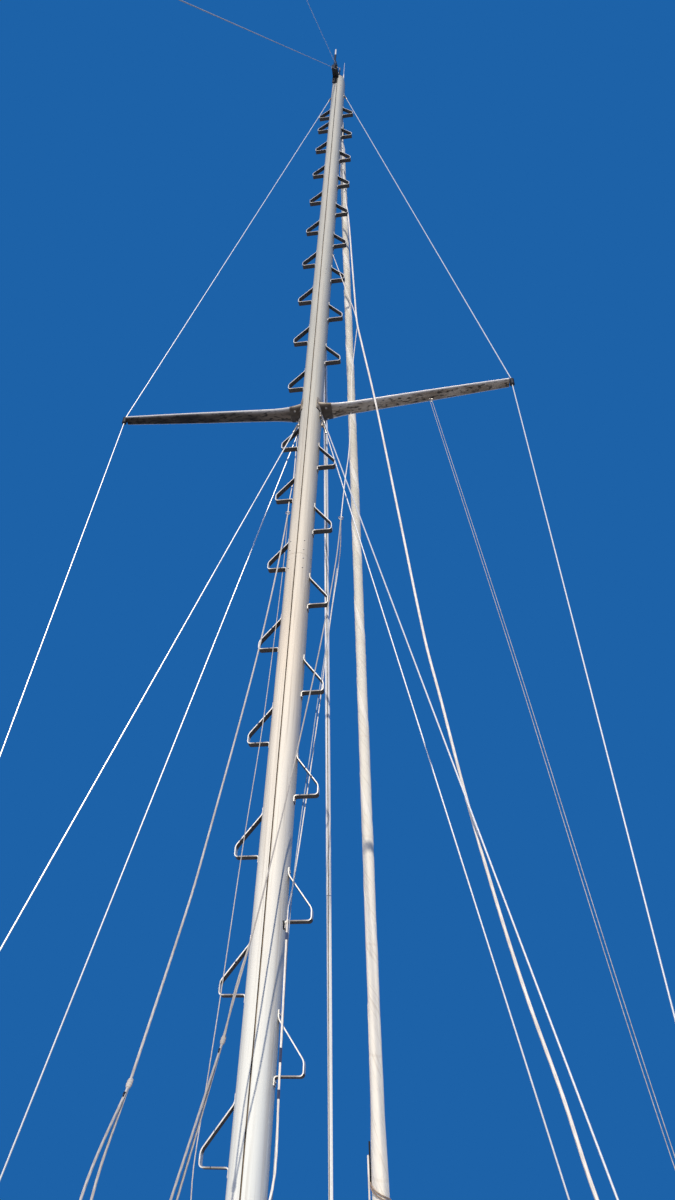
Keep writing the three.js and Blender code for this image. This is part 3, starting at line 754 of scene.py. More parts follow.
def extruded(segments, length, breadth, stations, slot=()):
    """
    An oval drawn upwards through (distance, size) stations. For a slot, the two edges beside its aft point
    are split, and that point and the new ones are set along the slot's half.
    """
    part = bmesh.new()
    ring = bmesh.ops.create_circle(part, segments=segments, radius=1)["verts"]
    oval(ring, length, breadth)
    if slot:
        aft = min(part.verts, key=lambda vert: vert.co.x)
        limit = min(abs(edge.other_vert(aft).co.y) for edge in aft.link_edges) - 1e-5
        bmesh.ops.bisect_edges(part, edges=list(aft.link_edges), cuts=len(slot))
        close_by = [vert for vert in part.verts if vert.co.x < 0 and abs(vert.co.y) < limit]
        middle, *others = sorted(close_by, key=lambda vert: abs(vert.co.y))
        middle.co.x = slot[0][0]
        for number, vert in enumerate(others):
            x, y = slot[number // 2]
            vert.co.xy = x, math.copysign(y, vert.co.y)
    return drawn(part, [Matrix.Translation((0, 0, at)) @ Matrix.Scale(size, 4) for at, size in stations])


def mast_tube(name, node, low, high):
    bm = bmesh.new()
    stations = [(low, 0.985), (low + CHAMFER, 1), (high - CHAMFER, 1), (high, 0.985)]
    part = extruded(96, MAST_CHORD, MAST_WIDTH, stations, SLOT)
    # Faces inside the groove take the groove finish: grease, darkened as painted shade
    for face in part.faces:
        x, y, _ = face.calc_center_median()
        inside = GROOVE_LOW < x < GROOVE_HIGH and abs(y) < GROOVE_SIDE
        face.material_index = int(inside and abs(face.normal.z) < 0.5)
    add_part(bm, part)
    return piece(bm, name, paint, grime_and_shade, slot="mast_cream", replaces=[node], sharp=28)


for name, node, low, high in [
    ("mast_tube_lower", "mast_lower", HEEL_TOP, SPLICE),
    ("mast_tube_upper", "mast_upper", SPLICE + SPLICE_GAP, MAST_TOP),
]:
    print(name, len(mast_tube(name, node, low, high).data.polygons), "faces")

# %% [markdown]
# ### Rivets on the mast
#
# Rivets show where something inside is held: the sleeve at the splice, the spreader bar, the sheave boxes.
# They sit on a curved skin, so each needs the skin's place and direction at its angle. For a superellipse
# both follow from its equation.

# %% Rivets on the skin
def on_mast(angle, height, out=0.0):
    """A matrix on the mast's skin, with Z outwards, at degrees from forward round by port."""
    c, s = math.cos(math.radians(angle)), math.sin(math.radians(angle))
    a, b, p = MAST_CHORD / 2, MAST_WIDTH / 2, OVAL_POWER
    x = a * math.copysign(abs(c) ** (2 / p), c)
    y = b * math.copysign(abs(s) ** (2 / p), s)
    slope_x = math.copysign(abs(x / a) ** (p - 1) / a, c)
    slope_y = math.copysign(abs(y / b) ** (p - 1) / b, s)
    normal = Vector((slope_x, slope_y, 0)).normalized()
    return stand(Vector((x, y, height)) + normal * out, normal, (0, 0, 1))


SLEEVE_HEIGHTS = [SPLICE + up for up in (-0.11, -0.035, 0.035, 0.11)]
SLEEVE_ANGLES = (30, 90, 150, 210, 270, 330)
# At the inner stay's sheave box and at the masthead's plates
FITTING_HEIGHTS = (7.40, 7.47, 11.62, 11.70, 11.84, 11.96)
FITTING_ANGLES = (35, 210, 325)

bm = bmesh.new()
for heights, angles in ((SLEEVE_HEIGHTS, SLEEVE_ANGLES), (FITTING_HEIGHTS, FITTING_ANGLES)):
    for height in heights:
        for angle in angles:
            stamp(bm, rivet, on_mast(angle, height))
piece(bm, "mast_rivets", strap)

# %% [markdown]
# ### Heel
#
# The mast stands in a cast shoe on the deck: a plate that is bolted through, and a collar that the tube
# fits into. The collar is the mast's own oval, a tenth larger, with a rounded rim.

# %% Heel casting
COLLAR_GROWTH = 1.1
COLLAR = [(0.010, 1), (0.054, 1), (0.058, 0.985), (0.060, 0.955)]
SHOE_THICK = 0.012

bm = bmesh.new()
plate(bm, rounded(0.250, 0.190, 0.030), SHOE_THICK, 0.002)
add_part(bm, extruded(64, MAST_CHORD * COLLAR_GROWTH, MAST_WIDTH * COLLAR_GROWTH, COLLAR))
for x in (-0.105, 0.105):
    for y in (-0.078, 0.078):
        stamp(bm, bolt, Matrix.Translation((x, y, SHOE_THICK)))
piece(bm, "mast_shoe", casting, slot="cast_aluminium", replaces=["mast_heel"])

# %% [markdown]
# ## Mast steps
#
# Each step is one flat bar, bent into a triangle with an upright lip that keeps the foot in, and riveted to
# the mast by a tab above and a tab below. The tread is pressed with small raised pads for grip. So the bar
# is a line of five stretches whose corners are bevelled round, drawn out sideways to the bar's width. The
# tread's cells are inset and raised, and last of all the sheet gets its thickness.

# %% Step template
STEP_OUT, STEP_RISE, STEP_LIP, STEP_TAB = 114, 205, 50, 34
STEP_DEPTH, STEP_STRAP = 38, 4.5
BEND = 12
PAD_RIM, PAD_RISE = 0.0042, 0.0008


def tread_faces(part, least=0.0, most=1.0):
    """The faces at the tread's level whose area lies between two limits, in square metres."""
    level = [face for face in part.faces if abs(face.calc_center_median().z) < 1e-4]
    return [face for face in level if least < face.calc_area() < most]


def build_step(bm):
    part = bmesh.new()
    line = [
        (0, STEP_RISE + STEP_TAB), (0, STEP_RISE), (STEP_OUT, STEP_LIP), (STEP_OUT, 0), (0, 0),
        (0, -STEP_TAB),
    ]
    chain = [part.verts.new((-STEP_DEPTH / 2 * MM, out * MM, up * MM)) for out, up in line]
    for pair in zip(chain, chain[1:]):
        part.edges.new(pair)
    round_off(part, chain[1:-1], BEND * MM, "VERTICES", 4)
    fresh = bmesh.ops.extrude_edge_only(part, edges=list(part.edges))["geom"]
    far = [item for item in fresh if isinstance(item, bmesh.types.BMVert)]
    bmesh.ops.translate(part, verts=far, vec=(STEP_DEPTH * MM, 0, 0))
    tread = max(tread_faces(part), key=lambda face: face.calc_area())
    lengthwise = [e for e in tread.edges if abs(e.verts[0].co.x - e.verts[1].co.x) < 1e-6]
    bmesh.ops.subdivide_edges(part, edges=lengthwise, cuts=6, use_grid_fill=True)
    bmesh.ops.recalc_face_normals(part, faces=part.faces)
    cells = tread_faces(part, least=3e-4)
    rims = [edge for edge in part.edges if any(face in cells for face in edge.link_faces)]
    across = [e for e in rims if abs(e.verts[0].co.x - e.verts[1].co.x) > 1e-3]
    bmesh.ops.subdivide_edges(part, edges=across, cuts=1, use_grid_fill=True)
    cells = tread_faces(part, 2e-4, 3.5e-4)
    up = 1 if cells[0].normal.z > 0 else -1
    bmesh.ops.inset_individual(part, faces=cells, thickness=PAD_RIM, depth=up * PAD_RISE)
    bmesh.ops.recalc_face_normals(part, faces=part.faces)
    lip = max(part.faces, key=lambda f: f.calc_center_median().y)
    outward = 1 if lip.normal.y > 0 else -1
    bmesh.ops.solidify(part, geom=part.faces, thickness=-outward * STEP_STRAP * MM)
    add_part(bm, part)
    for up in (STEP_RISE + STEP_TAB * 0.55, -STEP_TAB * 0.62):
        for x in (-9, 9):
            stamp(bm, rivet, stand(Vector((x, STEP_STRAP, up)) * MM, (0, 1, 0), (1, 0, 0)))


step = template("step", build_step)
corners = [[round(f(v.co[i] for v in step.vertices) / MM, 1) for i in range(3)] for f in (min, max)]
print("step", len(step.polygons), "faces,", *corners, "mm")

# %% Steps up both sides
step_count = 0
for node in sorted(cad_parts):
    if not node.startswith("step_"):
        continue
    low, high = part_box(node)
    side = 1 if "_port_" in node else -1
    inner = low.y if side > 0 else high.y
    place = Matrix.Translation((0, inner, low.z + STEP_TAB * MM)) @ Matrix.Scale(side, 4, (0, 1, 0))
    bm = bmesh.new()
    stamp(bm, step, place)
    piece(bm, node.replace("step_", "mast_step_"), strap, slot="step_aluminium", replaces=[node])
    step_count += 1
print(step_count, "steps")

# %% [markdown]
# ## Spreaders
#
# The spreaders hold the cap shrouds away from the mast. Each is a tapered aerofoil tube, held in a cast
# socket that is bolted to the mast's side, with a cup at the tip for the wire. The tube is a circle pulled
# to a blunt-nosed section and drawn outwards through the stations of the solid's table, which flares
# towards the root. The cup at the tip is black plastic, so that it doesn't chafe the wire.

# %% Spreader blades
ROOT_Y, ROOT_Z = 0.150, 5.622
TIP_Y, TIP_Z = 1.419, 5.747
TIP_RADIUS, TIP_HEIGHT = 17, 64
BLADE_CHORD = [(0, 132), (0.04, 118), (0.10, 107), (0.25, 103), (0.50, 98), (0.75, 88), (1, 74)]
BLADE_THICK = [(0, 42), (0.10, 40), (0.25, 37), (0.50, 34), (0.75, 30), (1, 26)]
BLADE_SHARES = (0.0003, 0.02, 0.04, 0.07, 0.10, 0.17, 0.25, 0.37, 0.50, 0.62, 0.75, 0.87, 0.985)


def along_table(rows, at):
    """A value between the rows of a table."""
    for (a, low), (b, high) in zip(rows, rows[1:]):
        if at <= b:
            return low + (high - low) * max(0.0, (at - a) / (b - a))
    return rows[-1][1]


def blade_place(side, share):
    """Where a spreader's section stands, and its size, at a share of its length."""
    chord, thick = (along_table(table, share) * MM for table in (BLADE_CHORD, BLADE_THICK))
    at = (0, side * (ROOT_Y + (TIP_Y - ROOT_Y) * share), ROOT_Z + (TIP_Z - ROOT_Z) * share)
    return Matrix.Translation(at) @ Matrix.Diagonal((chord / 2, 1, thick / 2, 1))


def spreader_blade(bm, side):
    part = bmesh.new()
    for vert in bmesh.ops.create_circle(part, segments=40, radius=1, matrix=QUARTER_TURN)["verts"]:
        vert.co.z *= (1 + 0.28 * vert.co.x) / 1.04
    add_part(bm, drawn(part, [blade_place(side, share) for share in BLADE_SHARES]))
    half = TIP_HEIGHT / 2
    rows = [(-half, 12), (-half + 5, TIP_RADIUS), (half - 5, TIP_RADIUS), (half, 12)]
    turned(bm, rows, Matrix.Translation((0, side * TIP_Y, TIP_Z)), 24, 1)


for word, side, skin in (("port", 1, shaded_port_anodising), ("starboard", -1, starboard_anodising)):
    bm = bmesh.new()
    spreader_blade(bm, side)
    name = f"spreader_blade_{word}"
    piece(bm, name, skin, black_nylon, slot="spreader_aluminium", replaces=[f"spreader_{word}"])

# %% [markdown]
# ### Spreader sockets
#
# The socket's flange follows the mast's side, so it starts as part of the mast's own ring, a little larger,
# and is drawn upwards and thickened. The socket itself is an oval that grows towards the mast, and bolts
# above and below hold the spreader in it.

# %% Spreader sockets
FLANGE_HEIGHT = 0.118
FLANGE_THICK = 0.006
SOCKET_CHORD, SOCKET_DEPTH = 0.166, 0.062
# Distance from the middle, and shares of that chord and depth
SOCKET = [
    (0.062, 1.0, 1.08), (0.080, 0.95, 0.95), (0.110, 0.87, 0.84), (0.1485, 0.81, 0.75), (0.150, 0.80, 0.73),
]


def socket_flange(bm, side):
    part = bmesh.new()
    ring = bmesh.ops.create_circle(part, segments=96, radius=1)["verts"]
    oval(ring, MAST_CHORD + 0.001, MAST_WIDTH + 0.001)
    spare = [v for v in ring if v.co.y * side < 0.004 or abs(v.co.x) > SOCKET_CHORD / 2 + 0.004]
    bmesh.ops.delete(part, geom=spare, context="VERTS")
    bmesh.ops.translate(part, verts=part.verts, vec=(0, 0, ROOT_Z - FLANGE_HEIGHT / 2))
    ring_on(part, list(part.edges), Matrix.Translation((0, 0, FLANGE_HEIGHT)))
    bmesh.ops.recalc_face_normals(part, faces=part.faces)
    face = part.faces[:][len(part.faces) // 2]
    outward = 1 if face.normal.y * side > 0 else -1
    bmesh.ops.solidify(part, geom=part.faces, thickness=-outward * FLANGE_THICK)
    add_part(bm, part)


def socket_tube(bm, side):
    part = bmesh.new()
    bmesh.ops.create_circle(part, segments=40, radius=1, matrix=QUARTER_TURN)
    places = [
        Matrix.Translation((0, side * y, ROOT_Z))
        @ Matrix.Diagonal((SOCKET_CHORD / 2 * chord, 1, SOCKET_DEPTH / 2 * depth, 1))
        for y, chord, depth in SOCKET
    ]
    add_part(bm, drawn(part, places))


for word, side in (("port", 1), ("starboard", -1)):
    bm = bmesh.new()
    socket_flange(bm, side)
    socket_tube(bm, side)
    for x in (-0.045, 0.045):
        for up in (-1, 1):
            seat = (x, side * 0.112, ROOT_Z + up * 0.0255)
            stamp(bm, bolt, stand(seat, (0, 0, up), (1, 0, 0)), 1)
    for z in (-0.048, 0.048):
        for angle in (62, 90, 118):
            stamp(bm, rivet, on_mast(side * angle, ROOT_Z + z, 0.0065), 1)
    made = piece(
        bm, f"spreader_socket_{word}", casting, steel, slot="cast_aluminium",
        replaces=[f"spreader_root_{word}"],
    )
    print(made.name, len(made.data.polygons), "faces")

# %% [markdown]
# ## Standing rigging
#
# Wires hold the mast up. At each end the wire is swaged, which means rolled into a steel sleeve under great
# pressure. Low down there is a rigging screw to tighten it, a toggle that lets it swing, and a chainplate
# on the deck. All of that stands in line with the wire, so every fitting is drawn along one axis from the
# pin on the deck upwards, and the whole is then aimed at the masthead.

# %% Wire fittings
PIN_HEIGHT = 0.058
WIRE_RADIUS = 4
SWAGE = 110
SCREW_LOW, SCREW_HIGH = 60, 320
LUG = (0.052, 0.078, 0.008)
BASE = (0.110, 0.060, 0.008)
THREAD_PITCH = 5
# Shares of a tang's height at which its two rivets sit
TANG_RIVETS = (0.42, 0.80)


def swage(bm, matrix, mouth, sense):
    """A swaged sleeve from its mouth, where the wire goes in, running up (1) or down (-1)."""
    rows = [(0, 4.1), (7, 7.4), (9, 8), (96, 8), (104, 6.4), (SWAGE, 6.4)]
    turned(bm, [(mouth + sense * along, radius) for along, radius in rows], matrix, 16, 1)


def stud(bm, matrix, low, high):
    rows = []
    for n in range(int((high - low) / THREAD_PITCH) + 1):
        rows += [(low + n * THREAD_PITCH, 6.0), (low + (n + 0.5) * THREAD_PITCH, 6.9)]
    turned(bm, rows, matrix, 12, 1)


def nut(bm, matrix, low, high):
    turned(bm, [(low, 10.5), (high, 10.5)], matrix, 6, 1)


def toggle_cheeks(bm, matrix, middle, length):
    """The two side plates of a toggle, in millimetres along the wire's line."""
    for side in (-1, 1):
        cheek = matrix @ Matrix.Translation((0, side * 8.5 * MM - 2 * MM, middle * MM)) @ QUARTER_TURN
        cheek = cheek @ Matrix.Translation((0, 0, -4 * MM))
        plate(bm, rounded(22 * MM, length * MM, 10.5 * MM), 4 * MM, 0.8 * MM, cheek, 1)


def rigging_screw(bm, matrix):
    """Toggle, closed-body screw with lock nuts, from the deck pin up to the swage."""
    toggle_cheeks(bm, matrix, 15, 52)
    turned(bm, [(34, 10.5), (52, 10.5), (57, 7.5), (62, 7.5)], matrix, 16, 1)
    stud(bm, matrix, SCREW_LOW, 112)
    nut(bm, matrix, 104, 113)
    turned(bm, [(113, 9.5), (120, 12.5), (262, 12.5), (269, 9.5)], matrix, 20, 1)
    # The body's cross hole is a dark plug of the groove finish: painted shade
    hole = matrix @ stand((0, 0, 0.191), (1, 0, 0))
    turned(bm, [(0, 4.4), (12.8, 4.4)], hole, 10, 2)
    nut(bm, matrix, 269, 278)
    stud(bm, matrix, 270, SCREW_HIGH)
    swage(bm, matrix, SCREW_HIGH + SWAGE, -1)


def chainplate(bm, x, y):
    """A bolted base with an upright lug that is turned towards the mast, and its pin."""
    towards = stand((x, y, 0), (0, 0, 1), (-x, -y, 0))
    plate(bm, rounded(*BASE[:2], 0.012), BASE[2], 0.0015, towards, 1)
    upright = towards @ Matrix.Translation((0, LUG[2] / 2, LUG[1] / 2)) @ QUARTER_TURN
    plate(bm, rounded(LUG[0], LUG[1], 0.022), LUG[2], 0.001, upright, 1)
    pin = towards @ stand((0, -0.015, PIN_HEIGHT), (0, 1, 0), (0, 0, 1))
    turned(bm, [(0, 8), (3, 8), (3, 6), (29, 6)], pin, 14, 1)
    for along in (-0.040, 0.040):
        stamp(bm, bolt, towards @ Matrix.Translation((along, 0, BASE[2])), 1)


def tang(bm, x, y, low, high, side, width=0.030, thick=0.006):
    """A plate on the mast's side that a wire hangs from."""
    middle = stand((x, y, (low + high) / 2), (0, side, 0), (1, 0, 0))
    plate(bm, rounded(width, high - low, 0.010), thick, 0.001, middle, 1)
    for z in (low + share * (high - low) for share in TANG_RIVETS):
        stamp(bm, rivet, stand((x, y + side * thick, z), (0, side, 0), (1, 0, 0)), 1)


def bare_wire(bm, matrix, low, high):
    """Straight wire between two distances along a matrix's Z axis, in metres."""
    tube(bm, [matrix @ Vector((0, 0, at)) for at in (low, high)], WIRE_RADIUS, 10)


def wire_run(bm, top, foot, screw=True, swaged_top=True):
    """A wire between two points, with its fittings."""
    top, foot = Vector(top), Vector(foot)
    matrix = stand(foot, top - foot, (1, 0, 0))
    length = (top - foot).length / MM
    low = SCREW_HIGH + SWAGE - 6 if screw else 0
    high = length - SWAGE + 6 if swaged_top else length
    bare_wire(bm, matrix, low * MM, high * MM)
    if screw:
        rigging_screw(bm, matrix)
    if swaged_top:
        swage(bm, matrix, length - SWAGE, 1)


# %% [markdown]
# ### Shrouds
#
# The cap shroud runs from the masthead over the spreader's tip to the deck, and two lower shrouds run from
# under the spreaders, one forward and one aft. Starboard is the mirror of port, so one function takes the
# side as a sign.

# %% Shrouds on both sides
CAP_TANG = (0, 0.082, 11.606)
LOWER_TANG = (0.040, 0.081, 5.530)
AFT_PORT_TANG_Z = 5.450
CAP_FOOT = (0.084, 1.713)
LOWER_FEET = {"fore": (0.486, 1.421), "aft": (-0.452, 1.506)}
SEAT = 0.0003


def mast_side_at(x):
    return SEAT + MAST_WIDTH / 2 * (1 - abs(x / (MAST_CHORD / 2)) ** OVAL_POWER) ** (1 / OVAL_POWER)


def shroud(bm, name, word, *materials):
    """Finishes a shroud that stands for the solid of its name, and returns the piece's name."""
    made = piece(bm, f"{name}_wire_{word}", wire, steel, *materials, slot="stainless_wire")
    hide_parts(f"{name}_{word}")
    return made.name


def shrouds(word, side):
    cup = TIP_HEIGHT / 2 * MM
    bm = bmesh.new()
    x, y, z = CAP_TANG
    wire_run(bm, (x, side * y, z), (0, side * TIP_Y, TIP_Z + cup), screw=False)
    tang(bm, x, side * mast_side_at(0), z - 0.030, z + 0.080, side)
    names = [shroud(bm, "cap_shroud_upper", word)]
    bm = bmesh.new()
    x, y = CAP_FOOT
    wire_run(bm, (0, side * TIP_Y, TIP_Z - cup), (x, side * y, PIN_HEIGHT), swaged_top=False)
    chainplate(bm, x, side * y)
    names.append(shroud(bm, "cap_shroud_lower", word, grime_and_shade))
    for which, (foot_x, foot_y) in LOWER_FEET.items():
        x, y, z = LOWER_TANG
        x = math.copysign(x, foot_x)
        if (which, word) == ("aft", "port"):
            z = AFT_PORT_TANG_Z
        bm = bmesh.new()
        wire_run(bm, (x, side * y, z), (foot_x, side * foot_y, PIN_HEIGHT))
        tang(bm, x, side * mast_side_at(abs(x) - 0.015), z - 0.030, z + 0.028, side)
        chainplate(bm, foot_x, side * foot_y)
        names.append(shroud(bm, f"{which}_lower", word, grime_and_shade))
    return names


print(shrouds("port", 1) + shrouds("starboard", -1))

# %% [markdown]
# ### Stays
#
# The stays run fore and aft. The backstay is plain wire. The inner stay carries a luff foil that is bare
# now, because no sail is on it: an extrusion with a slot, whose section is nearer a diamond than a circle,
# so that one face takes the sun and the next is shaded. It comes in lengths that are joined end to end,
# and it has settled with a slow twist, which the slot's line shows.

# %% Backstay and the headstay's ends
BACKSTAY_TOP = (-0.232, 0, 11.946)
BACKSTAY_FOOT_X = -6.5
HEADSTAY_TOP = Vector((0.150, 0, 11.937))
HEADSTAY_FOOT = Vector((5.328, 0, 0))
# Where the luff foil and the bare wire above it start and end, in metres along the headstay
LUFF_FOIL, HEAD_WIRE = (0.460, 12.858), (12.8604, 12.960)
INNER_TOP = Vector((0.112, 0, 7.465))
INNER_FOOT = Vector((2.375, 0, 0))

bm = bmesh.new()
wire_run(bm, BACKSTAY_TOP, (BACKSTAY_FOOT_X, 0, PIN_HEIGHT))
chainplate(bm, BACKSTAY_FOOT_X, 0)
piece(bm, "backstay_wire", wire, steel, grime_and_shade, slot="stainless_wire", replaces=["backstay"])

head = stand(HEADSTAY_FOOT, HEADSTAY_TOP - HEADSTAY_FOOT, (1, 0, 0))
head_length = (HEADSTAY_TOP - HEADSTAY_FOOT).length / MM
bm = bmesh.new()
bare_wire(bm, head, *HEAD_WIRE)
turned(bm, [(12945, 4.2), (12953, 8), (head_length - 4, 8)], head, 16, 1)
piece(bm, "headstay_top_wire", wire, steel, slot="stainless_wire", replaces=["headstay_link"])

bm = bmesh.new()
chainplate(bm, HEADSTAY_FOOT.x, 0)
toggle_cheeks(bm, head, 75, 58)
turned(bm, [(98, 11), (112, 11), (118, 7.5)], head, 16, 1)
stud(bm, head, 116, 168)
nut(bm, head, 158, 168)
turned(bm, [(168, 9.5), (174, 12.5), (244, 12.5), (249, 9.5)], head, 20, 1)
piece(bm, "headstay_tack_fitting", wire, steel, slot="stainless_wire", replaces=["headstay_tack"])

# %% Inner stay and its bare foil
# Where each length of bare foil starts, in millimetres, the turn of its slot there and its twist a metre
FOIL_LENGTHS = [(640, -0.70, 0.26), (2855, 0.02, 0.04), (5280, 0.12, 0.04)]
FOIL_HIGH = 7560
FOIL_GAP = 3
FOIL_RADIUS = 15
DIAMOND_LONG, DIAMOND_WIDE, DIAMOND_POWER = 1.08, 0.98, 1.45
SLOT_DEPTH = 0.66
SLOT_FILL = 2.7
JOINT_CORE = 9.5
WIRE_OVERLAP = 0.010


def slotted_diamond(turn=0.0):
    """Pulls a small circle towards a diamond with a slot in its aft corner, and turns it."""
    def pull(ring):
        for vert in ring:
            x, y = vert.co.xy / (FOIL_RADIUS * MM)
            vert.co.x = DIAMOND_LONG * FOIL_RADIUS * MM * math.copysign(abs(x) ** DIAMOND_POWER, x)
            vert.co.y = DIAMOND_WIDE * FOIL_RADIUS * MM * math.copysign(abs(y) ** DIAMOND_POWER, y)
        for number in (0, 1, -1):
            ring[number].co.xy *= SLOT_DEPTH
        for vert in ring:
            vert.co = Matrix.Rotation(turn, 3, "Z") @ vert.co
    return pull


def foil_length(bm, axis, low, high, turn, twist):
    """One length of foil between two distances, with a dark strip along its slot, which is painted shade."""
    count = int((high - low) / 150)
    stations = [low + (high - low) * n / count for n in range(count + 1)]
    path = [axis @ Vector((0, 0, at * MM)) for at in stations]
    tube(bm, path, FOIL_RADIUS, 32, 0, twist, slotted_diamond(turn))
    # A dark strip on the slot's floor stands for the slot's shade: painted shade
    floor = SLOT_DEPTH * FOIL_RADIUS + 1
    slot_shade = []
    for at in stations:
        angle = math.pi + turn + twist * (at - low) * MM
        slot_shade.append(axis @ (Vector((floor * math.cos(angle), floor * math.sin(angle), at)) * MM))
    tube(bm, slot_shade, SLOT_FILL, 8, 1)


inner = stand(INNER_FOOT, INNER_TOP - INNER_FOOT, (1, 0, 0))
inner_length = (INNER_TOP - INNER_FOOT).length / MM
bm = bmesh.new()
ends = [length[0] for length in FOIL_LENGTHS[1:]]
for (low, turn, twist), high in zip(FOIL_LENGTHS, [*ends, FOIL_HIGH + FOIL_GAP]):
    foil_length(bm, inner, low, high - FOIL_GAP, turn, twist)
for at in ends:
    turned(bm, [(at - 20, JOINT_CORE), (at + 20, JOINT_CORE)], inner, 16, 1)
piece(bm, "inner_stay_foil", extrusion, grime_and_shade, slot="foil_aluminium")
print("foil joints at", ends, "mm along the inner stay")

bm = bmesh.new()
rigging_screw(bm, inner @ Matrix.Translation((0, 0, PIN_HEIGHT)))
bare_wire(bm, inner, PIN_HEIGHT + 0.424, FOIL_LENGTHS[0][0] * MM + WIRE_OVERLAP)
bare_wire(bm, inner, FOIL_HIGH * MM - WIRE_OVERLAP, inner_length * MM - 0.104)
swage(bm, inner, inner_length - SWAGE, 1)
chainplate(bm, INNER_FOOT.x, 0)
nose = stand((MAST_CHORD / 2 + SEAT, 0, INNER_TOP.z + 0.025), (1, 0, 0))
plate(bm, rounded(0.030, 0.110, 0.010), 0.006, 0.001, nose, 1)
for z in (0.040, 0.066):
    stamp(bm, rivet, stand((MAST_CHORD / 2 + 0.006, 0, INNER_TOP.z + z), (1, 0, 0)), 1)
piece(bm, "inner_stay_wire", wire, steel, grime_and_shade, slot="stainless_wire", replaces=["inner_stay"])

# %% [markdown]
# ## The rolled headsail
#
# The headsail is a triangle of cloth that is wound round its luff foil, some fourteen turns at the foot and
# two at the head. It could be a solid with painted folds, but the cloth's free edge, the leech, climbs
# round the roll in a long helix that catches the light, and that edge only comes from real turns. So a
# flat grid is cut to the triangle and rolled up: each point moves to the place on an Archimedean spiral
# that lies as far along the cloth. Soft creases then run across all the turns together.

# %% Rolling up the sail
# Distance along the stay and outer radius of the roll, in millimetres
SAIL_ROLL = [
    (500, 62), (620, 76), (1650, 77), (2140, 62), (2915, 56), (4900, 54), (8560, 46), (11650, 41),
    (12300, 36), (12395, 24),
]
# The same, smoothed, which sets how many turns the cloth makes
TURN_ROLL = [(500, 76), (2915, 57), (12395, 34)]
SAIL_LOW, SAIL_HIGH = 500, 12395
SAIL_FOOT, SAIL_HEAD = 4.10, 0.22
SAIL_CORE = 17.0
SAIL_COLUMNS, SAIL_ROWS = 210, 170
# Where round the foil the luff lies, in turns, and how far the cloth stays inside the roll's outline
LUFF_TURN = 0.1
ROLL_INSET = 0.6
CREASE = 2.2
# Folds side by side round the roll, and millimetres that they climb for each radian
FOLDS, FOLD_CLIMB = 3, 170
CLOTH_THICK = 0.0005
PANEL_SLANT = 0.6


def crumple(angle, at, busy, height, start=0):
    """Noise about 0.5 on the roll: how busy it is round it, and the height of a blob in millimetres."""
    spot = Vector((math.cos(angle) * busy, math.sin(angle) * busy, at / height + start))
    return noise.noise(spot) + 0.5


def rolled(share, rise):
    """Where a point of the flat sail goes: share from luff to leech, rise from foot to head."""
    at = SAIL_LOW + (SAIL_HIGH - SAIL_LOW) * rise
    width = (SAIL_FOOT + (SAIL_HEAD - SAIL_FOOT) * rise) / MM
    outer = along_table(SAIL_ROLL, at) - ROLL_INSET
    turns = width / (math.pi * (SAIL_CORE + along_table(TURN_ROLL, at)))
    grow = outer - SAIL_CORE
    run = share * (SAIL_CORE + grow / 2)
    spiral = (math.sqrt(SAIL_CORE ** 2 + 2 * grow * run) - SAIL_CORE) / grow
    radius = SAIL_CORE + grow * spiral
    angle = 2 * math.pi * (turns * spiral + LUFF_TURN)
    lean = angle - 2 * math.pi * (turns + LUFF_TURN)
    helix = 0.5 + 0.5 * math.sin(FOLDS * lean + at / FOLD_CLIMB)
    soft, fine = crumple(angle, at, 1.3, 260), crumple(lean, at, 2.2, 90, 7)
    dent = CREASE * (0.55 * helix + 0.6 * soft + 0.35 * fine)
    radius = max(SAIL_CORE - 1.2, radius - dent * spiral)
    return Vector((radius * math.cos(angle), radius * math.sin(angle), at)) * MM, width * MM


def make_sail():
    """The cloth, cut flat, mapped, and rolled up: (its piece, its area)."""
    bm = bmesh.new()
    bmesh.ops.create_grid(bm, x_segments=SAIL_COLUMNS, y_segments=SAIL_ROWS, size=1)
    luff = (SAIL_HIGH - SAIL_LOW) * MM
    uv = bm.loops.layers.uv.new("UVMap")
    for face in bm.faces:
        for loop in face.loops:
            share, rise = (loop.vert.co.x + 1) / 2, (loop.vert.co.y + 1) / 2
            width = SAIL_FOOT + (SAIL_HEAD - SAIL_FOOT) * rise
            slant = (1 - rise) * share * PANEL_SLANT
            loop[uv].uv = ((1 - share) * width, luff * rise + slant)
    area = 0.0
    for vert in bm.verts:
        share, rise = (vert.co.x + 1) / 2, (vert.co.y + 1) / 2
        vert.co, width = rolled(share, rise)
        area += width * luff / len(bm.verts)
    bmesh.ops.transform(bm, matrix=head, verts=bm.verts)
    made = piece(
        bm, "headsail_cloth", sailcloth, body="furler", slot="sail_cloth", replaces=["headsail_furled"],
        sharp=60,
    )
    skin = made.modifiers.new("thickness", "SOLIDIFY")
    skin.thickness = CLOTH_THICK
    skin.offset = 0
    return made, area


sail, sail_area = make_sail()
print("sail", len(sail.data.polygons), "faces,", round(sail_area, 2), "square metres")

# %% [markdown]
# ### Roller furling gear
#
# Below the sail a drum holds the furling line, and above it a swivel lets the halyard stand still while the
# foil turns. Both are turned parts on the stay's axis. The line's coils on the drum are one profile of
# small half rounds, because nobody sees where one coil passes into the next.

# %% Drum, foil and swivel
def coil_rows(low, high, inner_radius, rope_radius):
    rows = [(low, 0)]
    count = int((high - low) / (2 * rope_radius))
    for n in range(count):
        for angle in (0.12, 0.5, 0.88):
            at = low + (n + angle) * 2 * rope_radius
            rows.append((at, inner_radius + rope_radius * math.sin(math.pi * angle)))
    return [*rows, (low + count * 2 * rope_radius, 0)]


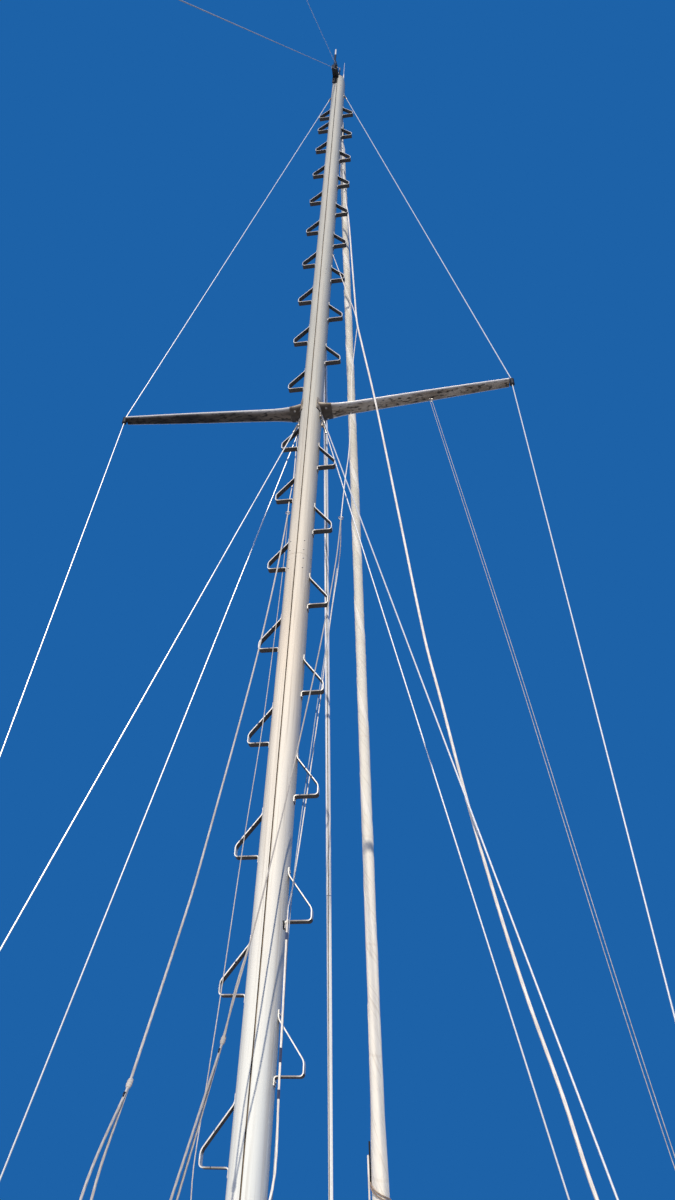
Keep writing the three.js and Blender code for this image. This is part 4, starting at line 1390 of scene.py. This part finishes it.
bm = bmesh.new()
tube(bm, [head @ Vector((0, 0, at)) for at in LUFF_FOIL], FOIL_RADIUS, 32, 0, 0.0, slotted_diamond())
piece(bm, "headsail_luff_foil", extrusion, body="furler", slot="foil_aluminium", replaces=["headsail_foil"])

bm = bmesh.new()
flange = [(0, 90), (2, 92), (10, 92), (12, 90)]
rows = [(252, 26), (256, 30), (270, 30), *((270 + at, radius) for at, radius in flange), (282, 58), (388, 58)]
rows += [*((388 + at, radius) for at, radius in flange), (400, 34), (408, 24), (456, 24), (460, 20)]
turned(bm, rows, head, 48)
for n in range(6):
    angle = math.radians(60 * n)
    spot = head @ Vector((math.cos(angle) * 0.078, math.sin(angle) * 0.078, 0.400))
    stamp(bm, bolt, stand(spot, head.col[2].xyz, (0, 1, 0)), 1)
piece(bm, "furler_drum", black_nylon, steel, body="furler", slot="black_fitting")

bm = bmesh.new()
turned(bm, coil_rows(283, 387, 60, 5.0), head, 40)
piece(bm, "furler_line_coil", blue_braid, body="furler", slot="rope", sharp=80)

bm = bmesh.new()
rows = [(12450, 16), (12450, 28), (12456, 33), (12500, 34), (12508, 27), (12540, 26), (12546, 33),
        (12590, 34), (12598, 27), (12640, 30), (12660, 26), (12660, 16)]
turned(bm, rows, head, 32)
for at in (12478, 12568):
    spot = head @ Vector((-36 * MM, 0, at * MM))
    stamp(bm, shackle, stand(spot, head.col[2].xyz, (0, 1, 0)), 1)
piece(bm, "furler_swivel", black_nylon, steel, body="furler", slot="black_fitting")

# %% [markdown]
# ### Sheets at the clew
#
# The sail's sheets hang from its clew and are wound twice round the roll, as they are on any furled
# headsail. Their turns are a helix just outside the cloth, and it widens and narrows as the roll does. At
# the clew a white strap stands off the roll, and a dark strip between it and the roll, reaching higher,
# is painted shade: the shade inside the fold.

# %% Sheets wound round the roll
def around_roll(low, high, turns, start, out):
    """Points of a helix on the roll between two distances along the stay."""
    count = int(turns * 14)
    points = []
    for n in range(count + 1):
        at = low + (high - low) * n / count
        radius = along_table(SAIL_ROLL, at) + out
        angle = start + 2 * math.pi * turns * n / count
        points.append(head @ (Vector((radius * math.cos(angle), radius * math.sin(angle), at)) * MM))
    return points


SHEET_RADIUS = 5

bm = bmesh.new()
for high, low in ((1715, 1120), (1690, 1095)):
    tube(bm, smooth_path(around_roll(high, low, 2.3, 1.5, SHEET_RADIUS + 0.2), 0.03), SHEET_RADIUS)
strap_place = head @ Matrix.Rotation(math.radians(8), 4, "Z")
box(bm, (-0.0015, 0.086, 1.480), (0.0015, 0.100, 1.900), 0.0005, strap_place, 1)
# The dark strip inside the strap is painted shade, the shade inside the fold
box(bm, (-0.0015, 0.071, 1.690), (0.0015, 0.0856, 2.000), 0.0005, strap_place, 2)
piece(bm, "headsail_sheets", brown_braid, white_braid, black_nylon, body="furler", slot="rope")

# %% [markdown]
# ## The masthead
#
# The black crane at the masthead keeps its solid, with a finish of its own. What it carries is made anew: a
# navigation light on a stalk, an aerial's whip, sheaves for the halyards, and a small arm. From the deck
# they are a few marks against the sky, and from above they are the part that gets looked at.

# %% Masthead fittings
def painted_casting():
    """A casting sprayed black: slightly glossy, with grey alloy showing where edges are rubbed."""
    material, tree, place = finish("black_sprayed_casting", 0.45)
    worn = blotches(tree, place, 22, 0.58, 0.7)
    coat(tree, "#101113", [(worn, "#3d3d3c", 0.5)], blotches(tree, place, 3, 0.3, 0.7), 0.05)
    return material


black_casting = painted_casting()
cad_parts["masthead_crane"].data.materials.clear()
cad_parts["masthead_crane"].data.materials.append(black_casting)

CAP_TOP = 12022.6
bm = bmesh.new()
lamp = Matrix.Translation((-0.160, 0.036, 0))
stalk = [(CAP_TOP, 18), (CAP_TOP + 5, 18), (CAP_TOP + 9, 12), (12495, 11.4), (12505, 13.6), (12512, 13.6)]
turned(bm, stalk, lamp)
turned(bm, [(12512, 9), (12712, 9), (12719, 7), (12722, 0)], lamp, index=1)
piece(bm, "navigation_light", black_nylon, white_acetal, slot="white_plastic", replaces=["masthead_light"])

bm = bmesh.new()
whip = Matrix.Translation((0.010, -0.048, 0))
turned(bm, [(CAP_TOP, 9), (12300, 8), (12360, 4)], whip, 16, 1)
turned(bm, [(12355, 3), (12750, 2.2), (12755, 0)], whip, 10, 1)
piece(bm, "aerial_rod", black_nylon, white_acetal, slot="white_plastic", replaces=["aerial_whip"])

bm = bmesh.new()
for y in (0.018, 0.044):
    sheave = stand((-0.108, y - 0.006, 11.850), (0, 1, 0), (0, 0, 1))
    turned(bm, [(0, 20), (2, 21), (6, 17), (10, 21), (12, 20)], sheave, 24, 1)
for x, y in ((-0.055, -0.035), (0.055, -0.035), (0.055, 0.035)):
    stamp(bm, bolt, Matrix.Translation((x, y, CAP_TOP * MM)), 0)
for side, y in ((-1, -0.012), (1, 0.054)):
    for x in (-0.190, -0.130):
        stamp(bm, bolt, stand((x, y, 11.976), (0, side, 0), (1, 0, 0)), 0)
post = Matrix.Translation((-0.080, -0.014, 0))
turned(bm, [(CAP_TOP, 10), (12200, 8)], post, 14, 1)
turned(bm, [(12200, 11), (12285, 11), (12290, 7)], post, 14)
piece(bm, "masthead_hardware", steel, black_nylon, slot="stainless_wire")

# %% [markdown]
# ## The boom
#
# The boom is the mast's little brother: a painted oval tube with a slot along its top, closed by a casting
# at each end. It is extruded along X, so the section is drawn in the upright plane across it. Sheaves for
# the reefing lines sit in the outer end, and eyes for the mainsheet hang below.

# %% Boom
BOOM_HEIGHT = 0.720
BOOM_NOSE, BOOM_END = -0.245, -4.085
BOOM_DEPTH, BOOM_BREADTH = 0.138, 0.096
BOOM_SLOT = [(-BOOM_DEPTH / 2 + 0.012, 0.0035), (-BOOM_DEPTH / 2 - 0.0005, 0.0030)]
BOOM_CAP, CAP_GROWTH, CAP_CHAMFER = 0.035, 0.006, 0.003
BOOM_EYE = [(-0.022, 0.655), (-0.020, 0.640), (0, 0.628), (0.020, 0.640), (0.022, 0.655)]
HINGE_X = -0.165
# Turns the section's aft point upwards and its length along -X
ALONG_BOOM = Matrix(((0, 0, -1, 0), (0, 1, 0, 0), (-1, 0, 0, BOOM_HEIGHT), (0, 0, 0, 1)))

bm = bmesh.new()
stations = [(-BOOM_NOSE + 0.020, 1), (-BOOM_END - 0.020, 1)]
add_part(bm, extruded(64, BOOM_DEPTH, BOOM_BREADTH, stations, BOOM_SLOT), ALONG_BOOM, 0)
for low in (-BOOM_NOSE, -BOOM_END - BOOM_CAP):
    high = low + BOOM_CAP
    stations = [(low, 0.96), (low + CAP_CHAMFER, 1), (high - CAP_CHAMFER, 1), (high, 0.96)]
    add_part(bm, extruded(64, BOOM_DEPTH + CAP_GROWTH, BOOM_BREADTH + CAP_GROWTH, stations), ALONG_BOOM, 1)
hinge = Matrix.Translation((HINGE_X, 0, BOOM_HEIGHT))
for half, radius in ((37.6, 12), (30, 19)):
    turned(bm, [(-half, radius), (half, radius)], hinge, 24, 2)
for aft, fore, half in ((-0.250, HINGE_X, 0.009), (-4.135, -4.075, 0.006)):
    box(bm, (aft, -half, BOOM_HEIGHT - 0.030), (fore, half, BOOM_HEIGHT + 0.030), 0.002, index=2)
for y in (-0.026, 0.026):
    wheel = stand((-4.0865, y - 0.005, BOOM_HEIGHT + 0.020), (0, 1, 0), (0, 0, 1))
    turned(bm, [(0, 22), (5, 18), (10, 22)], wheel, 24, 3)
for x in (-2.10, -2.75, -3.05):
    tube(bm, smooth_path([(x + along, 0, up) for along, up in BOOM_EYE], 0.008), 4, 8, 2)
for x in (-0.262, -4.067):
    for y in (-1, 1):
        for z in (-0.035, 0.035):
            stamp(bm, rivet, stand((x, y * 0.0478, BOOM_HEIGHT + z), (0, y, 0), (1, 0, 0)), 2)
piece(
    bm, "boom_spar", boom_paint, casting, steel, black_nylon, body="boom", slot="mast_cream",
    replaces=["boom"], sharp=28,
)

# %% Gooseneck
BACK_THICK = 0.012
JAW_REACH, JAW_THICK = 0.054, 0.016

bm = bmesh.new()
back = stand((-MAST_CHORD / 2 - SEAT, 0, BOOM_HEIGHT), (-1, 0, 0), (0, 1, 0))
plate(bm, rounded(0.060, 0.210, 0.014), BACK_THICK, 0.0015, back)
for low in (BOOM_HEIGHT - JAW_REACH, BOOM_HEIGHT + JAW_REACH - JAW_THICK):
    jaw = Matrix.Translation((-0.148, 0, low))
    plate(bm, rounded(0.084, 0.048, 0.022), JAW_THICK, 0.0015, jaw)
for z in (-0.085, 0.0, 0.085):
    for y in (-0.018, 0.018):
        seat = (-MAST_CHORD / 2 - SEAT - BACK_THICK, y, BOOM_HEIGHT + z)
        stamp(bm, bolt, stand(seat, (-1, 0, 0), (0, 1, 0)))
for up in (1, -1):
    seat = stand((HINGE_X, 0, BOOM_HEIGHT + up * JAW_REACH), (0, 0, up), (1, 0, 0))
    turned(bm, [(-1, 15), (3, 15), (6, 9)], seat)
piece(bm, "gooseneck_fitting", steel, slot="stainless_wire", replaces=["gooseneck"])

# %% [markdown]
# ## Running rigging
#
# Ropes that hang or lead near the mast give the rig its everyday look. Each follows points that were
# worked out from where it crosses the picture and what it is made fast to. A table keeps them together:
# the name, the finish, the radius in millimetres and the points, from the top down. Most are held taut
# between fittings; the thick spare halyard is slack and hangs in a long curve. The two tails beside the
# mast end on cleats, belayed with figures of eight.

# %% Ropes on the mast
RING_STARBOARD = Vector((-0.157, -0.270, 4.354))
RING_PORT = Vector((-0.002, 0.100, 4.602))
HITCH = Vector((-0.035, -0.312, 6.683))
TAIL_SPLICE = Vector((-0.098, -0.100, 1.990))

# Two turns of a figure of eight round a cleat, in millimetres up it, across it and out from the mast
BELAY = [
    (90, 17, 14), (20, 17, 9), (-25, 16, 9), (-42, 0, 8), (-25, -16, 11), (-12, -14, 25), (0, 0, 37),
    (12, 14, 25), (25, 16, 11), (42, 0, 8), (25, -16, 11), (12, -14, 27), (0, 0, 45), (-12, 14, 27),
    (-25, 16, 12), (-52, 0, 12), (-25, -17, 20), (10, -15, 30),
]
CLEATS = [(-100, 0.86), (-80, 0.66), (100, 0.84), (80, 0.68)]


def belayed(angle, height):
    """The points of a rope that is made fast on the cleat at that angle and height."""
    seat = on_mast(angle, height)
    return [seat @ (Vector(point) * MM) for point in BELAY]


PATH_STEP = 0.06

ROPES = [
    ("spare_halyard", thick_braid, 6.5, [
        (0.104, -0.030, 11.93), (0.110, -0.060, 11.0), (0.100, -0.075, 10.4), (0.080, -0.100, 9.8),
        (0.050, -0.135, 9.2), (0.030, -0.160, 8.9), (0.011, -0.186, 8.659), (0.002, -0.212, 8.298),
        (-0.012, -0.249, 7.68), (-0.026, -0.289, 7.028), HITCH, (-0.051, -0.359, 6.328),
        (-0.090, -0.464, 5.574), (-0.147, -0.622, 4.306), (-0.190, -0.739, 3.37), (-0.213, -0.803, 2.982),
        (-0.245, -0.891, 2.437), (-0.278, -0.981, 1.956), (-0.305, -1.054, 1.616), (-0.334, -1.136, 1.292),
        (-0.357, -1.199, 1.008), (-0.415, -1.395, 0.36), (-0.440, -1.475, 0.11),
    ]),
    ("lazy_jack_starboard", white_braid, 3, [
        (0.000, -0.075, 7.863), (-0.018, -0.200, 7.26), HITCH, (0.020, -0.296, 6.50), (0.061, -0.280, 6.367),
        (0.000, -0.280, 6.004), (0.023, -0.280, 5.616), (-0.006, -0.280, 5.154), (-0.123, -0.280, 4.721),
        RING_STARBOARD,
    ]),
    ("lazy_jack_port", white_braid, 3, [
        (0.037, 0.080, 5.798), (0.025, 0.090, 5.631), (0.007, 0.090, 5.449), (0.047, 0.100, 5.27),
        (0.051, 0.100, 4.994), (-0.002, 0.100, 4.695), RING_PORT,
    ]),
    ("mast_tail_starboard_upper", white_braid, 2.8, [
        RING_STARBOARD, (-0.028, -0.250, 4.173), (0.049, -0.200, 3.776), (0.126, -0.140, 3.122),
        (-0.039, -0.105, 2.185), (-0.100, -0.100, 2.041), TAIL_SPLICE, (-0.092, -0.100, 1.930),
    ]),
    ("mast_tail_starboard_lower", white_braid, 4.4, [
        TAIL_SPLICE, (-0.092, -0.100, 1.922), (-0.079, -0.100, 1.769), (-0.051, -0.100, 1.480),
        (-0.038, -0.100, 1.348), (-0.010, -0.100, 1.100), *belayed(*CLEATS[0]),
    ]),
    ("mast_tail_thin", blue_braid, 2.5, [
        (0.010, -0.230, 4.10), (0.060, -0.190, 3.70), (0.105, -0.130, 3.10), (-0.020, -0.095, 2.10),
        (0.008, -0.092, 1.30), (0.014, -0.090, 0.930), *belayed(*CLEATS[1]),
    ]),
]
names = []
for name, finish_of, radius, points in ROPES:
    bm = bmesh.new()
    tube(bm, smooth_path(points, PATH_STEP), radius)
    names.append(piece(bm, name, finish_of, slot="rope").name)
print(names)

# %% [markdown]
# ### Lines between the mast and the boom
#
# The lazy jacks' legs and the topping lift end on the boom, so they have to swing with it. Each leg bends
# over its length from the mast's body to the boom's: near the ring it stays, and near the boom it goes
# along, which is what a rope does. The starboard leg has two parts, one close to the mast and one farther
# aft, and each throws its own shadow. The double legs below the knots belong to the same piece.

# %% Lazy jack legs and topping lift
# Where a leg stops following the mast alone, and where it begins to follow the boom alone
LEG_TOP, LEG_LOW = (0, 0, 4.2), (0, 0, 1.5)
LEGS = [
    ("lazy_jack_leg_starboard", dark_braid, 3, [
        [RING_STARBOARD, (-0.186, -0.257, 3.985), (-0.235, -0.205, 3.364), (-0.274, -0.152, 2.870),
         (-0.310, -0.099, 2.417), (-0.421, -0.086, 2.114), (-0.553, -0.070, 1.766), (-0.633, -0.054, 1.556),
         (-0.762, -0.059, 1.368)],
        [RING_STARBOARD, (-0.244, -0.267, 3.930), (-0.383, -0.234, 3.248), (-0.488, -0.197, 2.732),
         (-0.581, -0.161, 2.278), (-0.634, -0.138, 2.021), (-0.722, -0.113, 1.708), (-0.760, -0.085, 1.530),
         (-0.762, -0.063, 1.368)],
    ], (-0.762, -0.061, 1.368), [(-1.088, -0.060, 0.922), (-1.036, -0.060, 0.927)]),
    ("lazy_jack_leg_port", grey_braid, 4, [
        [RING_PORT, (-0.100, 0.100, 4.1), (-0.288, 0.100, 3.36), (-0.454, 0.100, 2.825),
         (-0.719, 0.100, 2.054), (-0.810, 0.100, 1.806), (-1.096, 0.100, 1.182)],
    ], (-1.096, 0.100, 1.182), [(-1.350, 0.075, 0.895), (-1.284, 0.075, 0.901)]),
]
RING_BELOW_KNOT = 0.048
SHOULDER_AFT, SHOULDER_OUT, SHOULDER_HEIGHT = 0.05, 0.040, 0.775


def on_boom_side(point):
    """The spot on the boom's shoulder below a point."""
    return Vector((point[0] - SHOULDER_AFT, math.copysign(SHOULDER_OUT, point[1]), SHOULDER_HEIGHT))


for name, finish_of, radius, parts, junction, legs in LEGS:
    bm = bmesh.new()
    for points in parts:
        tube(bm, smooth_path(points, PATH_STEP), radius)
    for leg in legs:
        end = on_boom_side(leg)
        tube(bm, smooth_path([junction, leg, end], 0.05), 3.5)
        stamp(bm, shackle, stand(end + Vector((0, 0, 0.004)), (0, 0, -1), (1, 0, 0)), 2)
    slope = (Vector(legs[0]) - Vector(junction)).normalized()
    stamp(bm, knot, stand(junction, slope, (0, 1, 0)))
    ring_at(bm, Vector(junction) + slope * RING_BELOW_KNOT, 8, 2.2, (0, 1, 0), 1)
    made = piece(bm, name, finish_of, black_nylon, steel, body=None, slot="rope")
    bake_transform(made, "root", "boom", start=LEG_TOP, end=LEG_LOW)

bm = bmesh.new()
thin_leg = [
    RING_PORT, (0.015, 0.100, 4.207), (-0.078, 0.100, 3.02), (-0.203, 0.100, 2.278), (-0.294, 0.100, 1.595),
    (-0.333, 0.100, 1.351), (-0.429, 0.085, 1.069), (-0.500, 0.060, 0.974), (-0.530, 0.042, 0.775),
]
tube(bm, smooth_path(thin_leg, PATH_STEP), 2)
made = piece(bm, "lazy_jack_inner_leg_port", grey_braid, body=None, slot="rope")
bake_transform(made, "root", "boom", start=LEG_TOP, end=LEG_LOW)

LIFT_STRETCHES = 120
bm = bmesh.new()
lift_top, lift_end = Vector((-0.193, 0.0, 11.926)), Vector((-4.110, 0.0, 0.752))
tube(bm, [lift_top.lerp(lift_end, n / LIFT_STRETCHES) for n in range(LIFT_STRETCHES + 1)], 2.5)
stamp(bm, shackle, stand(lift_end, lift_top - lift_end, (0, 1, 0)), 1)
made = piece(bm, "topping_lift", grey_braid, steel, body=None, slot="rope")
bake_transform(made, "root", "boom", start=(0, 0, 11.9), end=(0, 0, 11.5))

# %% [markdown]
# ### Flag halyard and small fittings
#
# A doubled flag halyard runs from a small eye under the starboard spreader to the cap shroud's screw.
# Then come the bits that ropes end in: rings, eyes, shackles, and whippings of navy twine that mark the
# rope beside the mast. All of them are stamped or turned from what is there already.

# %% Flag halyard and rope ends
bm = bmesh.new()
for shift in (-0.007, 0.007):
    run = [(-0.02, -0.85 + shift, 5.590), (0.0, -1.176 + shift, 3.47), (0.080, -1.530 + shift, 1.17),
           (0.078, -1.700 + shift / 2, 0.45)]
    tube(bm, smooth_path(run, 0.15), 1.5)
stamp(bm, shackle, Matrix.Translation((-0.02, -0.85, 5.618)), 1)
piece(bm, "flag_halyard", grey_braid, steel, slot="rope")

bm = bmesh.new()
for place in (RING_STARBOARD, RING_PORT):
    ring_at(bm, place, 13, 3, (1, 0.2, 0))
ring_at(bm, (-0.440, -1.478, 0.098), 12, 3, (0, 1, 0.2))
for x, y, z in ((0.0, -0.0735, 7.863), (0.037, 0.0730, 5.798)):
    ring_at(bm, (x, y, z), 9, 2.5, (1, 0, 0))
    side = math.copysign(1, y)
    base = stand((x, y - side * 0.004, z), (0, side, 0), (1, 0, 0))
    plate(bm, rounded(0.024, 0.050, 0.010), 0.004, 0.001, base)
stamp(bm, shackle, stand((-0.446, -1.492, 0.074), (0.02, -0.2, -1), (0, 1, 0)))
stamp(bm, shackle, stand((-0.105, -0.088, 1.975), (-0.05, 0, 1), (0, 1, 0)), 1)
piece(bm, "rope_rings", steel, black_nylon, slot="stainless_wire")

bm = bmesh.new()
for x, z, half, lean in [(-0.092, 1.922, 14, -0.08), (-0.051, 1.480, 25, -0.10), (-0.038, 1.348, 15, -0.12)]:
    whipped = stand((x, -0.100, z), (lean, 0, 1), (0, 1, 0))
    turned(bm, [(-half, 5.8), (half, 5.8)], whipped, 12)
piece(bm, "rope_marks", navy_twine, slot="rope")

# %% [markdown]
# ### Cleats and winches on the mast
#
# Halyards end on the mast at waist height. A cleat is a bar with two horns on a low base: a circle drawn
# through stations that are smaller towards its ends. The winch is a turned drum, waisted so that the rope
# stays on.

# %% Cleats and winches
def horn_cleat(bm, angle, height):
    seat = on_mast(angle, height)
    box(bm, (-0.022, -0.011, -0.001), (0.022, 0.011, 0.020), 0.003, seat)
    # Millimetres along the bar, size there, and millimetres out from the seat
    bar = [(-75, 0.5, 30), (-55, 0.8, 26), (-22, 1, 23), (22, 1, 23), (55, 0.8, 26), (75, 0.5, 30)]
    part = bmesh.new()
    bmesh.ops.create_circle(part, segments=12, radius=0.0085, matrix=Matrix.Rotation(math.pi / 2, 4, "Y"))
    places = [
        Matrix.Translation((along * MM, 0, out * MM)) @ Matrix.Scale(size, 4) for along, size, out in bar
    ]
    add_part(bm, drawn(part, places), seat)


def winch(bm, angle, height):
    seat = on_mast(angle, height)
    box(bm, (-0.045, -0.034, -0.004), (0.045, 0.034, 0.012), 0.004, seat, 1)
    rows = [(12, 38), (17, 38), (22, 33), (45, 30), (66, 34), (72, 40), (79, 40), (82, 34), (82, 12), (80, 9)]
    turned(bm, rows, seat, 36)


bm = bmesh.new()
for angle, height in CLEATS:
    horn_cleat(bm, angle, height)
winch(bm, -96, 0.46)
winch(bm, 96, 0.48)
piece(bm, "mast_cleats", steel, casting, slot="stainless_wire")

# %% [markdown]
# ## Floor
#
# The floor is a pale plane under the rig. It isn't part of the object.

# %% Floor
def make_floor():
    bm = bmesh.new()
    bmesh.ops.create_grid(bm, x_segments=1, y_segments=1, size=20)
    bmesh.ops.translate(bm, verts=bm.verts, vec=(0, 0, -0.002))
    material, tree, place = finish("matt_pale_floor", 0.9)
    coat(tree, "#c6c0b6", [(blotches(tree, place, 900, 0.4, 0.6), "#cdc8bf", 0.5)])
    made = piece(bm, "floor", material, body=None)


make_floor()
